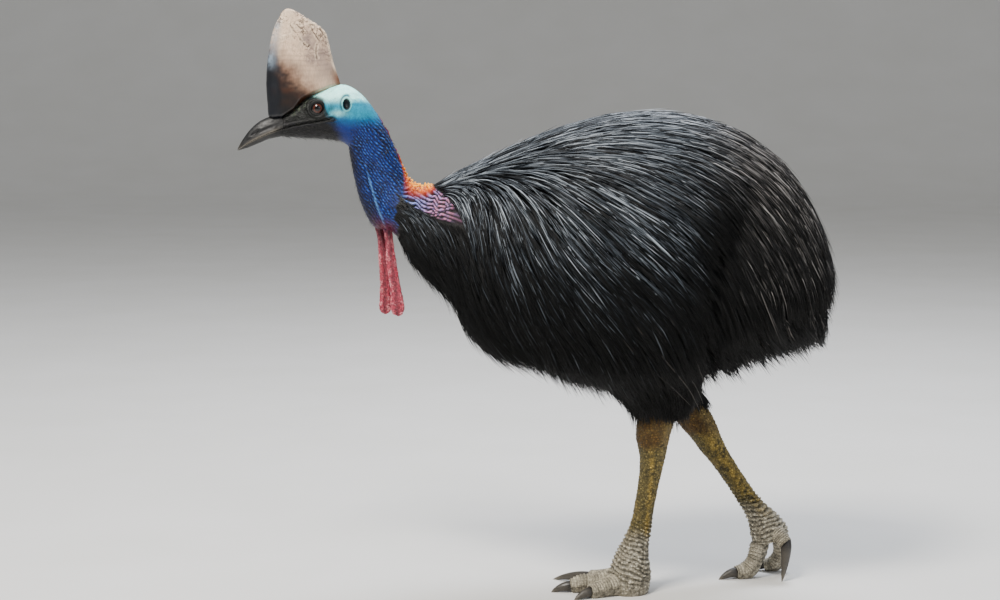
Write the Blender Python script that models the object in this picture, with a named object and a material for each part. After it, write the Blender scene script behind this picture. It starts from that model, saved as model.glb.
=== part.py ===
"""Southern cassowary at life size, standing still in a walking step, as a museum shows it.

Metres, +Z up. The bird looks along -X, its left side is at -Y, and the floor is z = 0.
"""

import math
import random

import bmesh
import bpy
from mathutils import Matrix, Vector

MM = 0.001
ROOM = 0.42 * MM
PLUME_ROOM = 1.1 * MM
DOUBLE = 0.00015 * MM
NUDGE = Vector((0.0011, 0.0007, 0.0009)) * MM
NUDGES = 9
SIDES = {"left": -1, "right": 1}

# Cross sections from the base of the bill over head, neck and back to the end of the rump, in mm:
# x and z of the upper edge, x and z of the lower edge, half width. They give the outline with the plumage.
BODY_SECTIONS = (
    (-481, 914, -482, 869, 21),
    (-449, 936, -446, 867, 28),
    (-420, 952, -408, 865, 35),
    (-391, 963, -385, 862, 38),
    (-365, 966, -368, 857, 39),
    (-342, 956, -358, 850, 37),
    (-320, 935, -356, 844, 35),
    (-303, 910, -355, 836, 33),
    (-276, 861, -351, 812, 32),
    (-261, 823, -344, 778, 33),
    (-247, 792, -332, 736, 36),
    (-229, 775, -310, 697, 42),
    (-201, 774, -271, 682, 50),
    (-136, 806, -236, 628, 82),
    (-69, 838, -172, 558, 120),
    (7, 869, -118, 484, 157),
    (82, 893, -32, 428, 186),
    (158, 908, 78, 390, 204),
    (234, 911, 200, 374, 211),
    (310, 900, 318, 402, 206),
    (388, 872, 404, 438, 190),
    (468, 814, 474, 452, 162),
    (523, 735, 526, 466, 124),
    (556, 650, 553, 496, 78),
    (573, 560, 573, 556, 4),
)
HEAD, NECK, TORSO, TAIL, RUMP_END = 0, 7, 12, 19.6, 24

# Depth from the feather tips in to the solid core at each section from the neck base on, in mm: top, side, bottom.
COAT_DEPTHS = (
    (0, 0, 0),
    (6, 7, 8),
    (11, 13, 20),
    (15, 18, 32),
    (17, 22, 40),
    (18, 24, 44),
    (19, 24, 44),
    (20, 26, 42),
    (24, 28, 40),
    (30, 32, 40),
)
CORE_ROUNDS_FROM, CORE_END = 19.4, 22.2
SAG = 0.14

HEAD_TURN = math.radians(7)
HEAD_TURN_PIVOT_X = -330 * MM
HEAD_TURN_FROM_X, HEAD_TURN_TO_X = -250 * MM, -380 * MM

SOCKET_ROOM = 1.0 * MM
EYE = {"x": -417, "z": 923, "radius": 14.5, "depth": 8.5}
EAR = {"x": -359, "z": 929, "long": 11.5, "wide": 8, "deep": 9, "rim": 2.6}
MOUTH_LINE = ((-484, 884), (-462, 890), (-436, 895), (-410, 899), (-391, 904))
MOUTH_GROOVE = 1.5
LID = {"share": 0.93, "thick": 3.4}
CHEEK = {"x": -378, "z": 892, "long": 26, "deep": 12, "sunk": 9}

# Bill sections, in mm: x, z of the ridge, z of the mouth line, z of the lower edge, half width.
BILL_SECTIONS = (
    (-563, 853.5, 846.5, 843.5, 3.2),
    (-556, 865, 851, 845.5, 6.2),
    (-543, 882, 859, 849.5, 9.8),
    (-526, 897, 867.5, 856.5, 13.2),
    (-507, 906, 876, 864, 16.8),
    (-482, 913, 885, 869.5, 20.6),
)
BILL_PARTING = 1.1
NOSTRIL = {"x": -533, "z": 876, "long": 9, "high": 2.4}

# Casque sections, in mm: z, x of the front edge, x of the back edge, half thickness.
CASQUE_SECTIONS = (
    (892, -505, -372, 27),
    (935, -509, -369, 26),
    (975, -510, -374, 23.5),
    (1012, -508, -385, 20),
    (1042, -503, -392, 16.5),
    (1066, -497, -400, 13),
    (1082, -491, -418, 10),
    (1095, -484, -438, 7.5),
    (1105, -477, -456, 4.5),
)
CASQUE_TOP = (-469, 1109)

# Wattles: for each one, points x, y, z down its middle with half widths fore-and-aft and across, in mm.
WATTLES = {
    "left": ((-286, -11, 706, 9, 7), (-281, -13, 668, 7.5, 6), (-277, -15, 628, 9, 6.5), (-270, -16, 585, 10.5, 7),
             (-265, -16, 548, 12.5, 7.5), (-264, -16, 532, 10, 6), (-264, -16, 526, 4, 3)),
    "right": ((-302, 10, 706, 9, 7), (-296, 12, 668, 7.5, 6), (-292, 13, 628, 9, 6.5), (-290, 14, 585, 10, 7),
              (-289, 14, 546, 11, 7.5), (-289, 14, 531, 9, 6), (-289, 14, 526, 4, 3)),
}
WATTLE_FOLD = 0.13
NAPE_BULBS = 13
NAPE_ROW = {"first": 9.3, "last": 11.6, "spread": 0.55, "size": 4.6, "lean": 60}

# Feathered thighs: centre x, z and half sizes fore-and-aft and across, in mm.
THIGHS = {
    "left": ((196, 470, 118, 80), (205, 430, 104, 74), (216, 396, 80, 64), (226, 366, 58, 50), (228, 345, 45, 40)),
    "right": ((236, 470, 112, 80), (258, 430, 96, 72), (279, 396, 72, 60), (297, 362, 54, 47), (306, 338, 43, 38)),
}
THIGH_Y = {"left": -82, "right": 82}
THIGH_COAT = 13
THIGH_CLEARANCE = 3 * MM

# Shanks from the thigh down to the foot: x, y, z and half sizes fore-and-aft and across, in mm.
SHANKS = {
    "left": ((228, -82, 345, 41, 33), (222, -81, 322, 39.5, 33), (220, -79, 300, 36, 31), (220, -77, 268, 29, 24.5),
             (215, -74, 225, 24, 20), (206, -70, 170, 22, 18.5), (201, -67, 126, 22, 18.5), (195, -65, 96, 27, 22),
             (187, -64, 70, 35, 30), (181, -63, 42, 43, 38), (177, -63, 16, 47, 40),
             (176, -63, -4, 44, 37)),
    "right": ((306, 82, 338, 40, 33), (314, 81, 316, 37, 32), (326, 79, 294, 33, 29), (343, 76, 264, 27, 24.5),
              (363, 73, 234, 23, 20), (390, 69, 194, 21.5, 18.5), (416, 65, 156, 22, 18.5), (434, 63, 130, 27, 22),
              (449, 62, 108, 34, 30), (459, 61, 88, 38, 36), (463, 61, 76, 33, 33)),
}
SCUTE_RISE = 0.055

# Toes: x, y, z down the middle with half width and half height, in mm, from inside the foot to the claw's root.
TOES = {
    "left_middle": ((172, -64, 26, 22, 22), (140, -65, 18, 20, 20), (112, -66, 14, 17, 17), (88, -67, 14, 18, 17),
                    (66, -68, 10.5, 13, 12)),
    "left_inner": ((172, -52, 26, 19, 20), (148, -36, 17, 17, 19), (126, -21, 13.5, 15.5, 16), (108, -9, 12, 13, 14)),
    "left_outer": ((172, -76, 26, 19, 20), (146, -92, 17, 17, 19), (122, -105, 13, 15, 16), (102, -116, 11, 12, 13)),
    "right_middle": ((450, 60, 92, 20, 19), (441, 55, 62, 18.5, 17), (432, 51, 34, 17.5, 15), (416, 47, 14, 17.5, 16),
                     (394, 41, 10.5, 13, 12)),
    "right_inner": ((466, 44, 96, 17, 16), (478, 33, 86, 15.5, 14.5), (489, 25, 74, 13, 12.5)),
    "right_outer": ((474, 76, 94, 17, 17), (487, 88, 66, 16, 15.5), (488, 97, 36, 15, 14), (476, 104, 14, 14.5, 15.5),
                    (457, 108, 10.5, 12, 12)),
}
SCUTES_PER_TOE = {"middle": 6, "inner": 4, "outer": 5}
# Claws: points x, y, z from the root to the point, in mm. A little below the floor, so that each rests on a flat.
CLAWS = {
    "left_middle": ((66, -68, 12), (44, -69, 11), (28, -70, -1)),
    "left_inner": ((108, -9, 14), (70, 14, 16), (33, 36, -1)),
    "left_outer": ((102, -116, 13), (84, -126, 10), (70, -133, -1)),
    "right_middle": ((394, 41, 13), (373, 35, 11), (358, 31, -1)),
    "right_inner": ((489, 25, 74), (488, 18, 38), (480, 15, -1)),
    "right_outer": ((457, 108, 13), (437, 110, 10), (422, 111, -1)),
}
CLAW_WIDTHS = {"middle": 9, "inner": 10, "outer": 8.5}
CLAW_SHAPE = ((-0.12, 0.9), (0.1, 1.0), (0.35, 0.86), (0.6, 0.62), (0.82, 0.36))
CLAW_ROOT_MM = 60

# Wings: a small arm on the flank with bare quills. x and z down each quill, in mm.
WING_ARM = ((92, 650, 5), (112, 640, 15), (152, 622, 19), (184, 607, 16), (203, 597, 5))
WING_ARM_SUNK = 11
QUILLS = (
    ((192, 598), (217, 524), (262, 450), (306, 370)),
    ((186, 596), (206, 520), (246, 446), (288, 378)),
    ((180, 598), (196, 516), (230, 444), (268, 382)),
    ((172, 602), (184, 520), (212, 452), (244, 396)),
    ((164, 606), (172, 530), (192, 470), (216, 420)),
)
QUILL_RADIUS = 1.7
QUILL_CLEARANCE = 9
QUILL_HANGS_BELOW_Z = 470

# Feather locks, in mm.
TORSO_LOCK = {"length": 190, "half_width": 27, "thick": 7, "row": 88, "beside": 45, "rise": 0.4, "seed": 11}
TAIL_LOCK = {"length": 205, "half_width": 28, "thick": 7, "row": 96, "beside": 48, "rise": 0.3, "seed": 5}
FULL_LOCK_AT = 150 * MM
SMALLEST_LOCK = 0.42
THIGH_LOCKS = {"rows": 2, "around": 7, "half_width": 21, "thick": 6}
LOCK_SHAPE = ((0.0, 0.75), (0.22, 1.0), (0.5, 0.95), (0.76, 0.62))
SHORTEST_LOCK_MM = 45
BARE_BELOW = -0.8
SKIN_PATCH = {"last": 12.75, "from_turn": 0.5, "to_turn": 1.25}
ROOT_SINK = 9 * MM
TIP_ROOM = 26
# Lie of the feathers on the flank: degrees below the horizontal at each x in mm, towards the tail.
BELLY_LIE = 8
HEM_LIFT = 26 * MM
FLANK_LIE = ((-300, 50), (-230, 58), (-145, 74), (-31, 66), (83, 52), (216, 46), (349, 56), (463, 64), (560, 70))

COLOURS = {
    "plumage": (0.012, 0.012, 0.014, 0.55, 0.0),
    "neck_skin": (0.02, 0.09, 0.42, 0.5, 0.0),
    "head_skin": (0.22, 0.55, 0.62, 0.5, 0.0),
    "wattle_skin": (0.48, 0.05, 0.08, 0.55, 0.0),
    "casque_horn": (0.36, 0.27, 0.21, 0.35, 0.0),
    "bill_horn": (0.03, 0.03, 0.035, 0.35, 0.0),
    "leg_scales": (0.19, 0.16, 0.09, 0.6, 0.0),
    "claw_horn": (0.16, 0.14, 0.11, 0.4, 0.0),
    "eye": (0.06, 0.02, 0.01, 0.08, 0.0),
    "quill_horn": (0.015, 0.013, 0.012, 0.3, 0.0),
}


def clear_scene():
    for obj in list(bpy.data.objects):
        bpy.data.objects.remove(obj)


def new_collection(name):
    collection = bpy.data.collections.new(name)
    bpy.context.scene.collection.children.link(collection)
    return collection


def make_materials():
    made = {}
    for name, (red, green, blue, roughness, metallic) in COLOURS.items():
        material = bpy.data.materials.new(name)
        material.use_nodes = True
        shader = material.node_tree.nodes["Principled BSDF"]
        shader.inputs["Base Color"].default_value = (red, green, blue, 1)
        shader.inputs["Roughness"].default_value = roughness
        shader.inputs["Metallic"].default_value = metallic
        made[name] = material
    return made


def smooth(value):
    value = min(1.0, max(0.0, value))
    return value * value * (3 - 2 * value)


def spline(rows, at):
    """Catmull-Rom through rows of numbers, one unit of at for each row."""
    last = len(rows) - 1
    at = min(float(last), max(0.0, at))
    i = min(int(at), last - 1)
    u = at - i
    before, start, end, after = (rows[min(last, max(0, k))] for k in (i - 1, i, i + 1, i + 2))
    return [
        0.5 * (2 * b + (c - a) * u + (2 * a - 5 * b + 4 * c - d) * u * u + (3 * b - a - 3 * c + d) * u ** 3)
        for a, b, c, d in zip(before, start, end, after)
    ]


def at_x(table, x_mm):
    """Straight-line reading of a table of (x, value)."""
    for (x0, v0), (x1, v1) in zip(table, table[1:]):
        if x_mm <= x1:
            return v0 + (v1 - v0) * max(0.0, (x_mm - x0) / (x1 - x0))
    return table[-1][1]


def body_section(t):
    """Centre, upward direction, half height and half width of the body at section number t."""
    top_x, top_z, low_x, low_z, half_width = (v * MM for v in spline(BODY_SECTIONS, t))
    top, low = Vector((top_x, 0, top_z)), Vector((low_x, 0, low_z))
    return (top + low) / 2, (top - low).normalized(), (top - low).length / 2, half_width


def body_point(t, turn, coat=0.0, grow=0.0):
    """Point at section t, turned from the back line (0) to the belly (pi). Coat 1 is the core under the feathers."""
    centre, up, half_height, half_width = body_section(t)
    top = low = half_height
    if t > TORSO:
        depths = [coat * MM * v for v in spline(COAT_DEPTHS, min(t - TORSO, len(COAT_DEPTHS) - 1))]
        top, low, half_width = top - depths[0], low - depths[2], half_width - depths[1]
        past = (t - CORE_ROUNDS_FROM) / (CORE_END - CORE_ROUNDS_FROM)
        if coat and past > 0:
            closing = 1 - coat * (1 - math.sqrt(max(0.0, 1 - past * past)))
            top, low, half_width = top * closing, low * closing, half_width * closing
    across, along = math.sin(turn), math.cos(turn)
    lift = (top if along > 0 else low) * along
    if t > TORSO:
        lift -= SAG * smooth((t - TORSO) / 3) * low * across * across
    point = centre + up * lift + Vector((0, half_width * across, 0))
    if grow:
        point += (up * along + Vector((0, across, 0))) * grow
    return point


def body_ring(t, sides, coat=0.0, grow=0.0, shift=0.0):
    """A ring of points round the body, moved along the body by shift."""
    up = body_section(t)[1]
    onward = Vector((up.z, 0, -up.x)) * shift
    return [body_point(t, 2 * math.pi * k / sides, coat, grow) + onward for k in range(sides)]


def outline_frame(t, turn):
    """Point on the feathered outline with its outward normal and its two slopes."""
    step = 0.02
    point = body_point(t, turn)
    along = (body_point(t + step, turn) - body_point(t - step, turn)) / (2 * step)
    around = (body_point(t, turn + step) - body_point(t, turn - step)) / (2 * step)
    normal = around.cross(along).normalized()
    if normal.dot(point - body_section(t)[0]) < 0:
        normal.negate()
    return point, normal, along, around


def side_y(x_mm, z_mm, coat=0.0, first=0.0, last=24.0):
    """Half width of the body where the side view shows the point x, z."""
    best = None
    for k in range(int((last - first) * 40) + 1):
        t = first + k / 40
        centre, up, half_height, half_width = body_section(t)
        offset = Vector((x_mm * MM, 0, z_mm * MM)) - centre
        astray = (offset - up * offset.dot(up)).length
        if best is None or astray < best[0]:
            best = (astray, t, offset.dot(up))
    t, height = best[1], best[2]
    low, high = 0.0, math.pi
    for _ in range(30):
        middle = (low + high) / 2
        centre, up, _, _ = body_section(t)
        if (body_point(t, middle, coat) - centre).dot(up) > height:
            low = middle
        else:
            high = middle
    return body_point(t, (low + high) / 2, coat).y


def mesh_object(name, collection, verts, faces):
    mesh = bpy.data.meshes.new(name)
    mesh.from_pydata([tuple(v) for v in verts], [], faces)
    work = bmesh.new()
    work.from_mesh(mesh)
    bmesh.ops.recalc_face_normals(work, faces=work.faces)
    work.to_mesh(mesh)
    work.free()
    obj = bpy.data.objects.new(name, mesh)
    collection.objects.link(obj)
    return obj


def loft(name, collection, rings, tip=None):
    """A closed skin over rings of equally many points, with a flat cap or a tip at its end."""
    sides = len(rings[0])
    verts = [v for ring in rings for v in ring]
    faces = [tuple(range(sides))]
    for k in range(len(rings) - 1):
        for j in range(sides):
            a, b = k * sides + j, k * sides + (j + 1) % sides
            faces += [(a, a + sides, b + sides), (a, b + sides, b)]
    first = (len(rings) - 1) * sides
    if tip is None:
        faces.append(tuple(range(first, first + sides)))
    else:
        verts.append(tip)
        faces += [(first + j, len(verts) - 1, first + (j + 1) % sides) for j in range(sides)]
    return mesh_object(name, collection, verts, faces)


def path_frames(points, up_hint):
    """Direction, sideways and upward unit vectors at each point of a path."""
    frames = []
    for k, point in enumerate(points):
        ahead = (points[min(k + 1, len(points) - 1)] - points[max(k - 1, 0)]).normalized()
        side = ahead.cross(up_hint).normalized()
        frames.append((ahead, side, side.cross(ahead).normalized()))
    return frames


def tube(name, collection, rows, sides, up_hint, between=1, rise=None, grow=0.0, floor=None, tip=None):
    """A tube through rows of x, y, z, half width, half height in mm. rise(s, turn) lifts its surface."""
    count = (len(rows) - 1) * between + 1
    cuts = [spline(rows, k / between) for k in range(count)]
    points = [Vector(c[:3]) * MM for c in cuts]
    if grow:
        points[0] += (points[0] - points[1]).normalized() * grow
        points[-1] += (points[-1] - points[-2]).normalized() * grow
    rings = []
    for k, (cut, frame) in enumerate(zip(cuts, path_frames(points, up_hint))):
        ring = []
        for j in range(sides):
            turn = 2 * math.pi * (j + 0.5) / sides
            lift = 1 + (rise(k / (count - 1), turn) if rise else 0.0)
            wide, high = cut[3] * MM * lift + grow, cut[4] * MM * lift + grow
            point = points[k] + frame[1] * wide * math.cos(turn) + frame[2] * high * math.sin(turn)
            if floor is not None:
                point.z = max(point.z, floor)
            ring.append(point)
        rings.append(ring)
    return loft(name, collection, rings, tip)


def ball(name, collection, centre, radii, segments=12, rings=8, turned=None):
    bpy.ops.mesh.primitive_uv_sphere_add(radius=1, segments=segments, ring_count=rings)
    return placed(name, collection, centre, radii, turned)


def ring_solid(name, collection, centre, radii, thick, turned=None, segments=10, sides=4):
    """A torus standing on the flank, stretched to an oval."""
    bpy.ops.mesh.primitive_torus_add(
        major_radius=1, minor_radius=thick / radii[0], major_segments=segments, minor_segments=sides,
        rotation=(math.radians(90), 0, 0))
    bpy.ops.object.transform_apply(rotation=True)
    return placed(name, collection, centre, (radii[0], radii[0], radii[1]), turned)


def placed(name, collection, centre, radii, turned):
    """Moves the primitive just added into a collection, with its size and turn in its mesh."""
    obj = bpy.context.object
    for used in list(obj.users_collection):
        used.objects.unlink(obj)
    collection.objects.link(obj)
    obj.name = name
    matrix = Matrix.Translation(centre) @ (turned or Matrix.Identity(4)) @ Matrix.Diagonal((*radii, 1))
    obj.data.transform(matrix)
    return obj


def remove(objects):
    for obj in list(objects):
        bpy.data.objects.remove(obj)


def triangulated(mesh):
    """Splits the faces into triangles, and is True where each edge then has two faces, also with near points joined."""
    for method in ("BEAUTY", "EAR_CLIP"):
        work = bmesh.new()
        work.from_mesh(mesh)
        bmesh.ops.triangulate(work, faces=work.faces, ngon_method=method)
        split = mesh.copy()
        work.to_mesh(split)
        bmesh.ops.remove_doubles(work, verts=work.verts, dist=DOUBLE)
        sound = all(len(edge.link_faces) == 2 for edge in work.edges)
        work.free()
        if sound:
            break
    work = bmesh.new()
    work.from_mesh(split)
    work.to_mesh(mesh)
    work.free()
    return sound


def apply_boolean(obj, operation, operand):
    """Joins or cuts by an object or by all of a collection. Where a fault is left, the body is nudged and tried again."""
    modifier = obj.modifiers.new("Cut", "BOOLEAN")
    modifier.operation = operation
    modifier.solver = "MANIFOLD"
    if isinstance(operand, bpy.types.Collection):
        modifier.operand_type = "COLLECTION"
        modifier.collection = operand
    else:
        modifier.object = operand
    for attempt in range(NUDGES):
        obj.data.transform(Matrix.Translation(NUDGE * (-1) ** attempt * attempt))
        graph = bpy.context.evaluated_depsgraph_get()
        mesh = bpy.data.meshes.new_from_object(obj.evaluated_get(graph))
        if triangulated(mesh):
            break
    else:
        print("a fault is left in", obj.name)
    obj.modifiers.clear()
    obj.data = mesh
    return obj


def keep_largest(obj):
    """Keeps the closed surface with the largest volume, and drops sealed hollows and loose scraps."""
    work = bmesh.new()
    work.from_mesh(obj.data)
    work.faces.ensure_lookup_table()
    unseen, parts = set(work.faces), []
    while unseen:
        stack, part = [unseen.pop()], []
        while stack:
            face = stack.pop()
            part.append(face)
            for edge in face.edges:
                for other in edge.link_faces:
                    if other in unseen:
                        unseen.remove(other)
                        stack.append(other)
        parts.append(part)

    def volume(part):
        total = 0.0
        for face in part:
            first, *rest = [v.co for v in face.verts]
            for a, b in zip(rest, rest[1:]):
                total += first.dot(a.cross(b))
        return total

    best = max(parts, key=volume)
    bmesh.ops.delete(work, geom=[f for part in parts if part is not best for f in part], context="FACES")
    work.to_mesh(obj.data)
    work.free()
    return obj


def fused(core, pieces):
    """Core joined with every object of the collection, which is then removed."""
    if pieces.objects:
        apply_boolean(core, "UNION", pieces)
    remove(pieces.objects)
    bpy.data.collections.remove(pieces)
    return keep_largest(core)


def cut_by(obj, cutter, keep=False):
    apply_boolean(obj, "DIFFERENCE", cutter)
    if not keep:
        remove([cutter])
    return keep_largest(obj)


def finish(obj, name, collection, material):
    for used in list(obj.users_collection):
        used.objects.unlink(obj)
    collection.objects.link(obj)
    obj.name = name
    obj.data.name = name
    obj.data.materials.clear()
    obj.data.materials.append(material)
    obj.data.shade_smooth()
    obj.data.set_sharp_from_angle(angle=math.radians(35))
    return obj


def turn_head(obj):
    """Turns what lies ahead of the neck a little towards the bird's left, easing in along the neck."""
    for vert in obj.data.vertices:
        share = smooth((vert.co.x - HEAD_TURN_FROM_X) / (HEAD_TURN_TO_X - HEAD_TURN_FROM_X))
        angle = HEAD_TURN * share
        x, y = vert.co.x - HEAD_TURN_PIVOT_X, vert.co.y
        vert.co.x = HEAD_TURN_PIVOT_X + x * math.cos(angle) - y * math.sin(angle)
        vert.co.y = x * math.sin(angle) + y * math.cos(angle)
    return obj


def head_solid(work, grow=0.0):
    """Skull, cheeks, eyelid rings and ear rims as one body, before anything is cut from it."""
    sides = 18
    cuts = [NECK * k / 12 for k in range(13)]
    rings = [body_ring(t, sides, grow=grow) for t in cuts]
    rings[0] = body_ring(0, sides, grow=grow, shift=-grow)
    rings[-1] = body_ring(NECK, sides, grow=grow, shift=grow)
    core = loft("head", work, rings)
    extras = new_collection("head_extras")
    for side, sign in SIDES.items():
        eye_y = side_y(EYE["x"], EYE["z"], last=NECK)
        eye_at = Vector((EYE["x"] * MM, sign * eye_y, EYE["z"] * MM))
        lid = EYE["radius"] * LID["share"] * MM
        ring_solid(f"lid_{side}", extras, eye_at, (lid, lid), LID["thick"] * MM + grow)
        ear_y = side_y(EAR["x"], EAR["z"], last=NECK)
        ear_at = Vector((EAR["x"] * MM, sign * (ear_y - 0.6 * MM), EAR["z"] * MM))
        ring_solid(f"ear_{side}", extras, ear_at, (EAR["wide"] * MM, EAR["long"] * MM), EAR["rim"] * MM + grow)
        cheek_y = side_y(CHEEK["x"], CHEEK["z"], last=NECK) - CHEEK["sunk"] * MM
        cheek_at = Vector((CHEEK["x"] * MM, sign * cheek_y, CHEEK["z"] * MM))
        deep = CHEEK["deep"] * MM + grow
        ball(f"cheek_{side}", extras, cheek_at, (CHEEK["long"] * MM + grow, deep, deep), 10, 5)
    return fused(core, extras)


def make_head(parts, work, materials):
    head = head_solid(work)
    for side, sign in SIDES.items():
        eye_y = side_y(EYE["x"], EYE["z"], last=NECK) - EYE["depth"] * MM
        eye_at = Vector((EYE["x"] * MM, sign * eye_y, EYE["z"] * MM))
        radius = EYE["radius"] * MM
        socket = ball("socket", work, eye_at, [radius + SOCKET_ROOM] * 3, 14, 9)
        cut_by(head, socket)
        eye = ball("eye", work, eye_at, [radius] * 3, 12, 8)
        finish(turn_head(eye), f"eye_{side}", parts, materials["eye"])
        ear_y = side_y(EAR["x"], EAR["z"], last=NECK)
        ear_at = Vector((EAR["x"] * MM, sign * (ear_y + 1 * MM), EAR["z"] * MM))
        hole = ball("hole", work, ear_at, ((EAR["wide"] - 1) * MM, EAR["deep"] * MM, (EAR["long"] - 1) * MM), 8, 5)
        cut_by(head, hole)
        line = [(x, sign * side_y(x, z, last=NECK) / MM, z, MOUTH_GROOVE, MOUTH_GROOVE) for x, z in MOUTH_LINE]
        groove = tube("groove", work, line, 4, Vector((0, 0, 1)))
        cut_by(head, groove)
    finish(turn_head(head), "head", parts, materials["head_skin"])


def bill_rings(upper, grow=0.0):
    """Sections of the upper or lower half of the bill, each a ridge, two shoulders, two cutting edges and a palate."""
    rings = []
    for x, ridge, mouth, low, half in BILL_SECTIONS:
        edge = mouth + BILL_PARTING / 2 if upper else mouth - BILL_PARTING / 2
        far = ridge if upper else low
        half = half if upper else half * 0.93
        shares = ((0.0, 1.0), (0.34, 0.93), (0.68, 0.7), (0.9, 0.4), (1.0, 0.12), (0.97, 0.0), (0.5, 0.03), (0.0, 0.05))
        ring = []
        for sign in (1, -1):
            row = shares if sign == 1 else shares[-2:0:-1]
            for across, high in row:
                z = edge + (far - edge) * high
                ring.append(Vector((x * MM, sign * across * half * MM, z * MM)))
        middle = sum(ring, Vector()) / len(ring)
        ring = [p + (p - middle).normalized() * grow for p in ring]
        rings.append(ring)
    return rings


def bill_half(work, upper, grow=0.0):
    rings = bill_rings(upper, grow)
    rings[-1] = [p + Vector((3 * MM + grow, 0, 0)) for p in rings[-1]]
    tip_z = BILL_SECTIONS[0][2] + (-1.6 if upper else -2.2)
    tip_x = -567 if upper else -565
    return loft("bill", work, rings[::-1], Vector((tip_x * MM - grow, 0, tip_z * MM)))


def make_bill(parts, work, materials):
    upper = bill_half(work, True)
    for sign in SIDES.values():
        at = Vector((NOSTRIL["x"] * MM, sign * 10.5 * MM, NOSTRIL["z"] * MM))
        slant = Matrix.Rotation(math.radians(-33), 4, "Y")
        slit = ball("slit", work, at, (NOSTRIL["long"] * MM, 3.2 * MM, NOSTRIL["high"] * MM), 8, 6, slant)
        cut_by(upper, slit)
    lower = bill_half(work, False)
    head_room = head_solid(work, ROOM)
    for half, name in ((upper, "bill_upper"), (lower, "bill_lower")):
        cut_by(half, head_room, keep=True)
        finish(turn_head(half), name, parts, materials["bill_horn"])


def make_casque(parts, work, materials):
    """The tall horny blade, which meets the crown and the root of the bill."""
    sides, rings = 14, []
    for z, front, back, half in CASQUE_SECTIONS:
        ring = []
        for k in range(sides):
            turn = 2 * math.pi * k / sides
            x = (front + back) / 2 + (back - front) / 2 * math.cos(turn)
            thin_at_back = 1 - 0.22 * math.cos(turn)
            y = half * math.copysign(abs(math.sin(turn)) ** 0.85, math.sin(turn)) * thin_at_back
            ring.append(Vector((x, y, z)) * MM)
        rings.append(ring)
    casque = loft("casque", work, rings, Vector((CASQUE_TOP[0], 0, CASQUE_TOP[1])) * MM)
    cut_by(casque, head_solid(work, ROOM))
    cut_by(casque, bill_half(work, True, 1.5 * ROOM))
    finish(turn_head(casque), "casque", parts, materials["casque_horn"])


def neck_solid(work, grow=0.0):
    sides = 20
    cuts = [NECK + (TORSO - NECK) * k / 9 for k in range(10)]
    rings = [body_ring(t, sides, grow=grow) for t in cuts]
    rings[0] = body_ring(NECK, sides, grow=grow, shift=ROOM)
    rings[-1] = body_ring(TORSO, sides, grow=grow, shift=grow)
    return loft("neck", work, rings)


def make_neck(parts, work, materials):
    """Bare neck with the row of crinkled bulbs down the nape."""
    neck = neck_solid(work)
    bulbs = new_collection("nape_bulbs")
    draw = random.Random(3)
    for k in range(NAPE_BULBS):
        share = k / (NAPE_BULBS - 1)
        t = NAPE_ROW["first"] + (NAPE_ROW["last"] - NAPE_ROW["first"]) * share
        turn = (k % 3 - 1) * NAPE_ROW["spread"] * share + draw.uniform(-0.06, 0.06)
        size = NAPE_ROW["size"] * (0.55 + 0.45 * share) * draw.uniform(0.85, 1.15) * MM
        lean = Matrix.Rotation(math.radians(NAPE_ROW["lean"]), 4, "Y")
        ball(f"bulb_{k}", bulbs, body_point(t, turn, grow=-0.35 * size), (size * 2.1, size * 1.3, size), 6, 4, lean)
    fused(neck, bulbs)
    finish(turn_head(neck), "neck", parts, materials["neck_skin"])


def wattle_folds(share, turn):
    """Shallow folds down the wattle, which twist a little and swell by turns."""
    return WATTLE_FOLD * math.cos(3 * turn + 2.5 * share) + 0.5 * WATTLE_FOLD * math.sin(19 * share)


def make_wattles(parts, work, materials):
    for side, rows in WATTLES.items():
        wattle = tube("wattle", work, rows, 12, Vector((0, 1, 0)), rise=wattle_folds)
        cut_by(wattle, neck_solid(work, ROOM))
        finish(turn_head(wattle), f"wattle_{side}", parts, materials["wattle_skin"])


def lie(t, turn, point):
    """Direction in which a feather lies, before it is laid on the surface."""
    ahead, behind = body_section(t + 0.2), body_section(t - 0.2)
    back_line = (ahead[0] + ahead[1] * ahead[2]) - (behind[0] + behind[1] * behind[2])
    back_slope = math.degrees(math.atan2(-back_line.z, back_line.x))
    flank = at_x(FLANK_LIE, point.x / MM)
    turn = abs((turn + math.pi) % (2 * math.pi) - math.pi)
    angle = back_slope + (flank - back_slope) * smooth(turn / math.radians(52))
    angle += (BELLY_LIE - angle) * smooth((turn - math.radians(115)) / math.radians(45))
    angle = math.radians(angle)
    return Vector((math.cos(angle), 0, -math.sin(angle)))


def hem_z(x, y):
    """Height of the plumage's lower edge, which rises a little towards the sides."""
    t = min(range(TORSO * 4, RUMP_END * 4), key=lambda k: abs(spline(BODY_SECTIONS, k / 4)[2] * MM - x)) / 4
    section = spline(BODY_SECTIONS, t)
    return section[3] * MM + HEM_LIFT * min(1.0, abs(y) / (section[4] * MM)) ** 2


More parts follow.
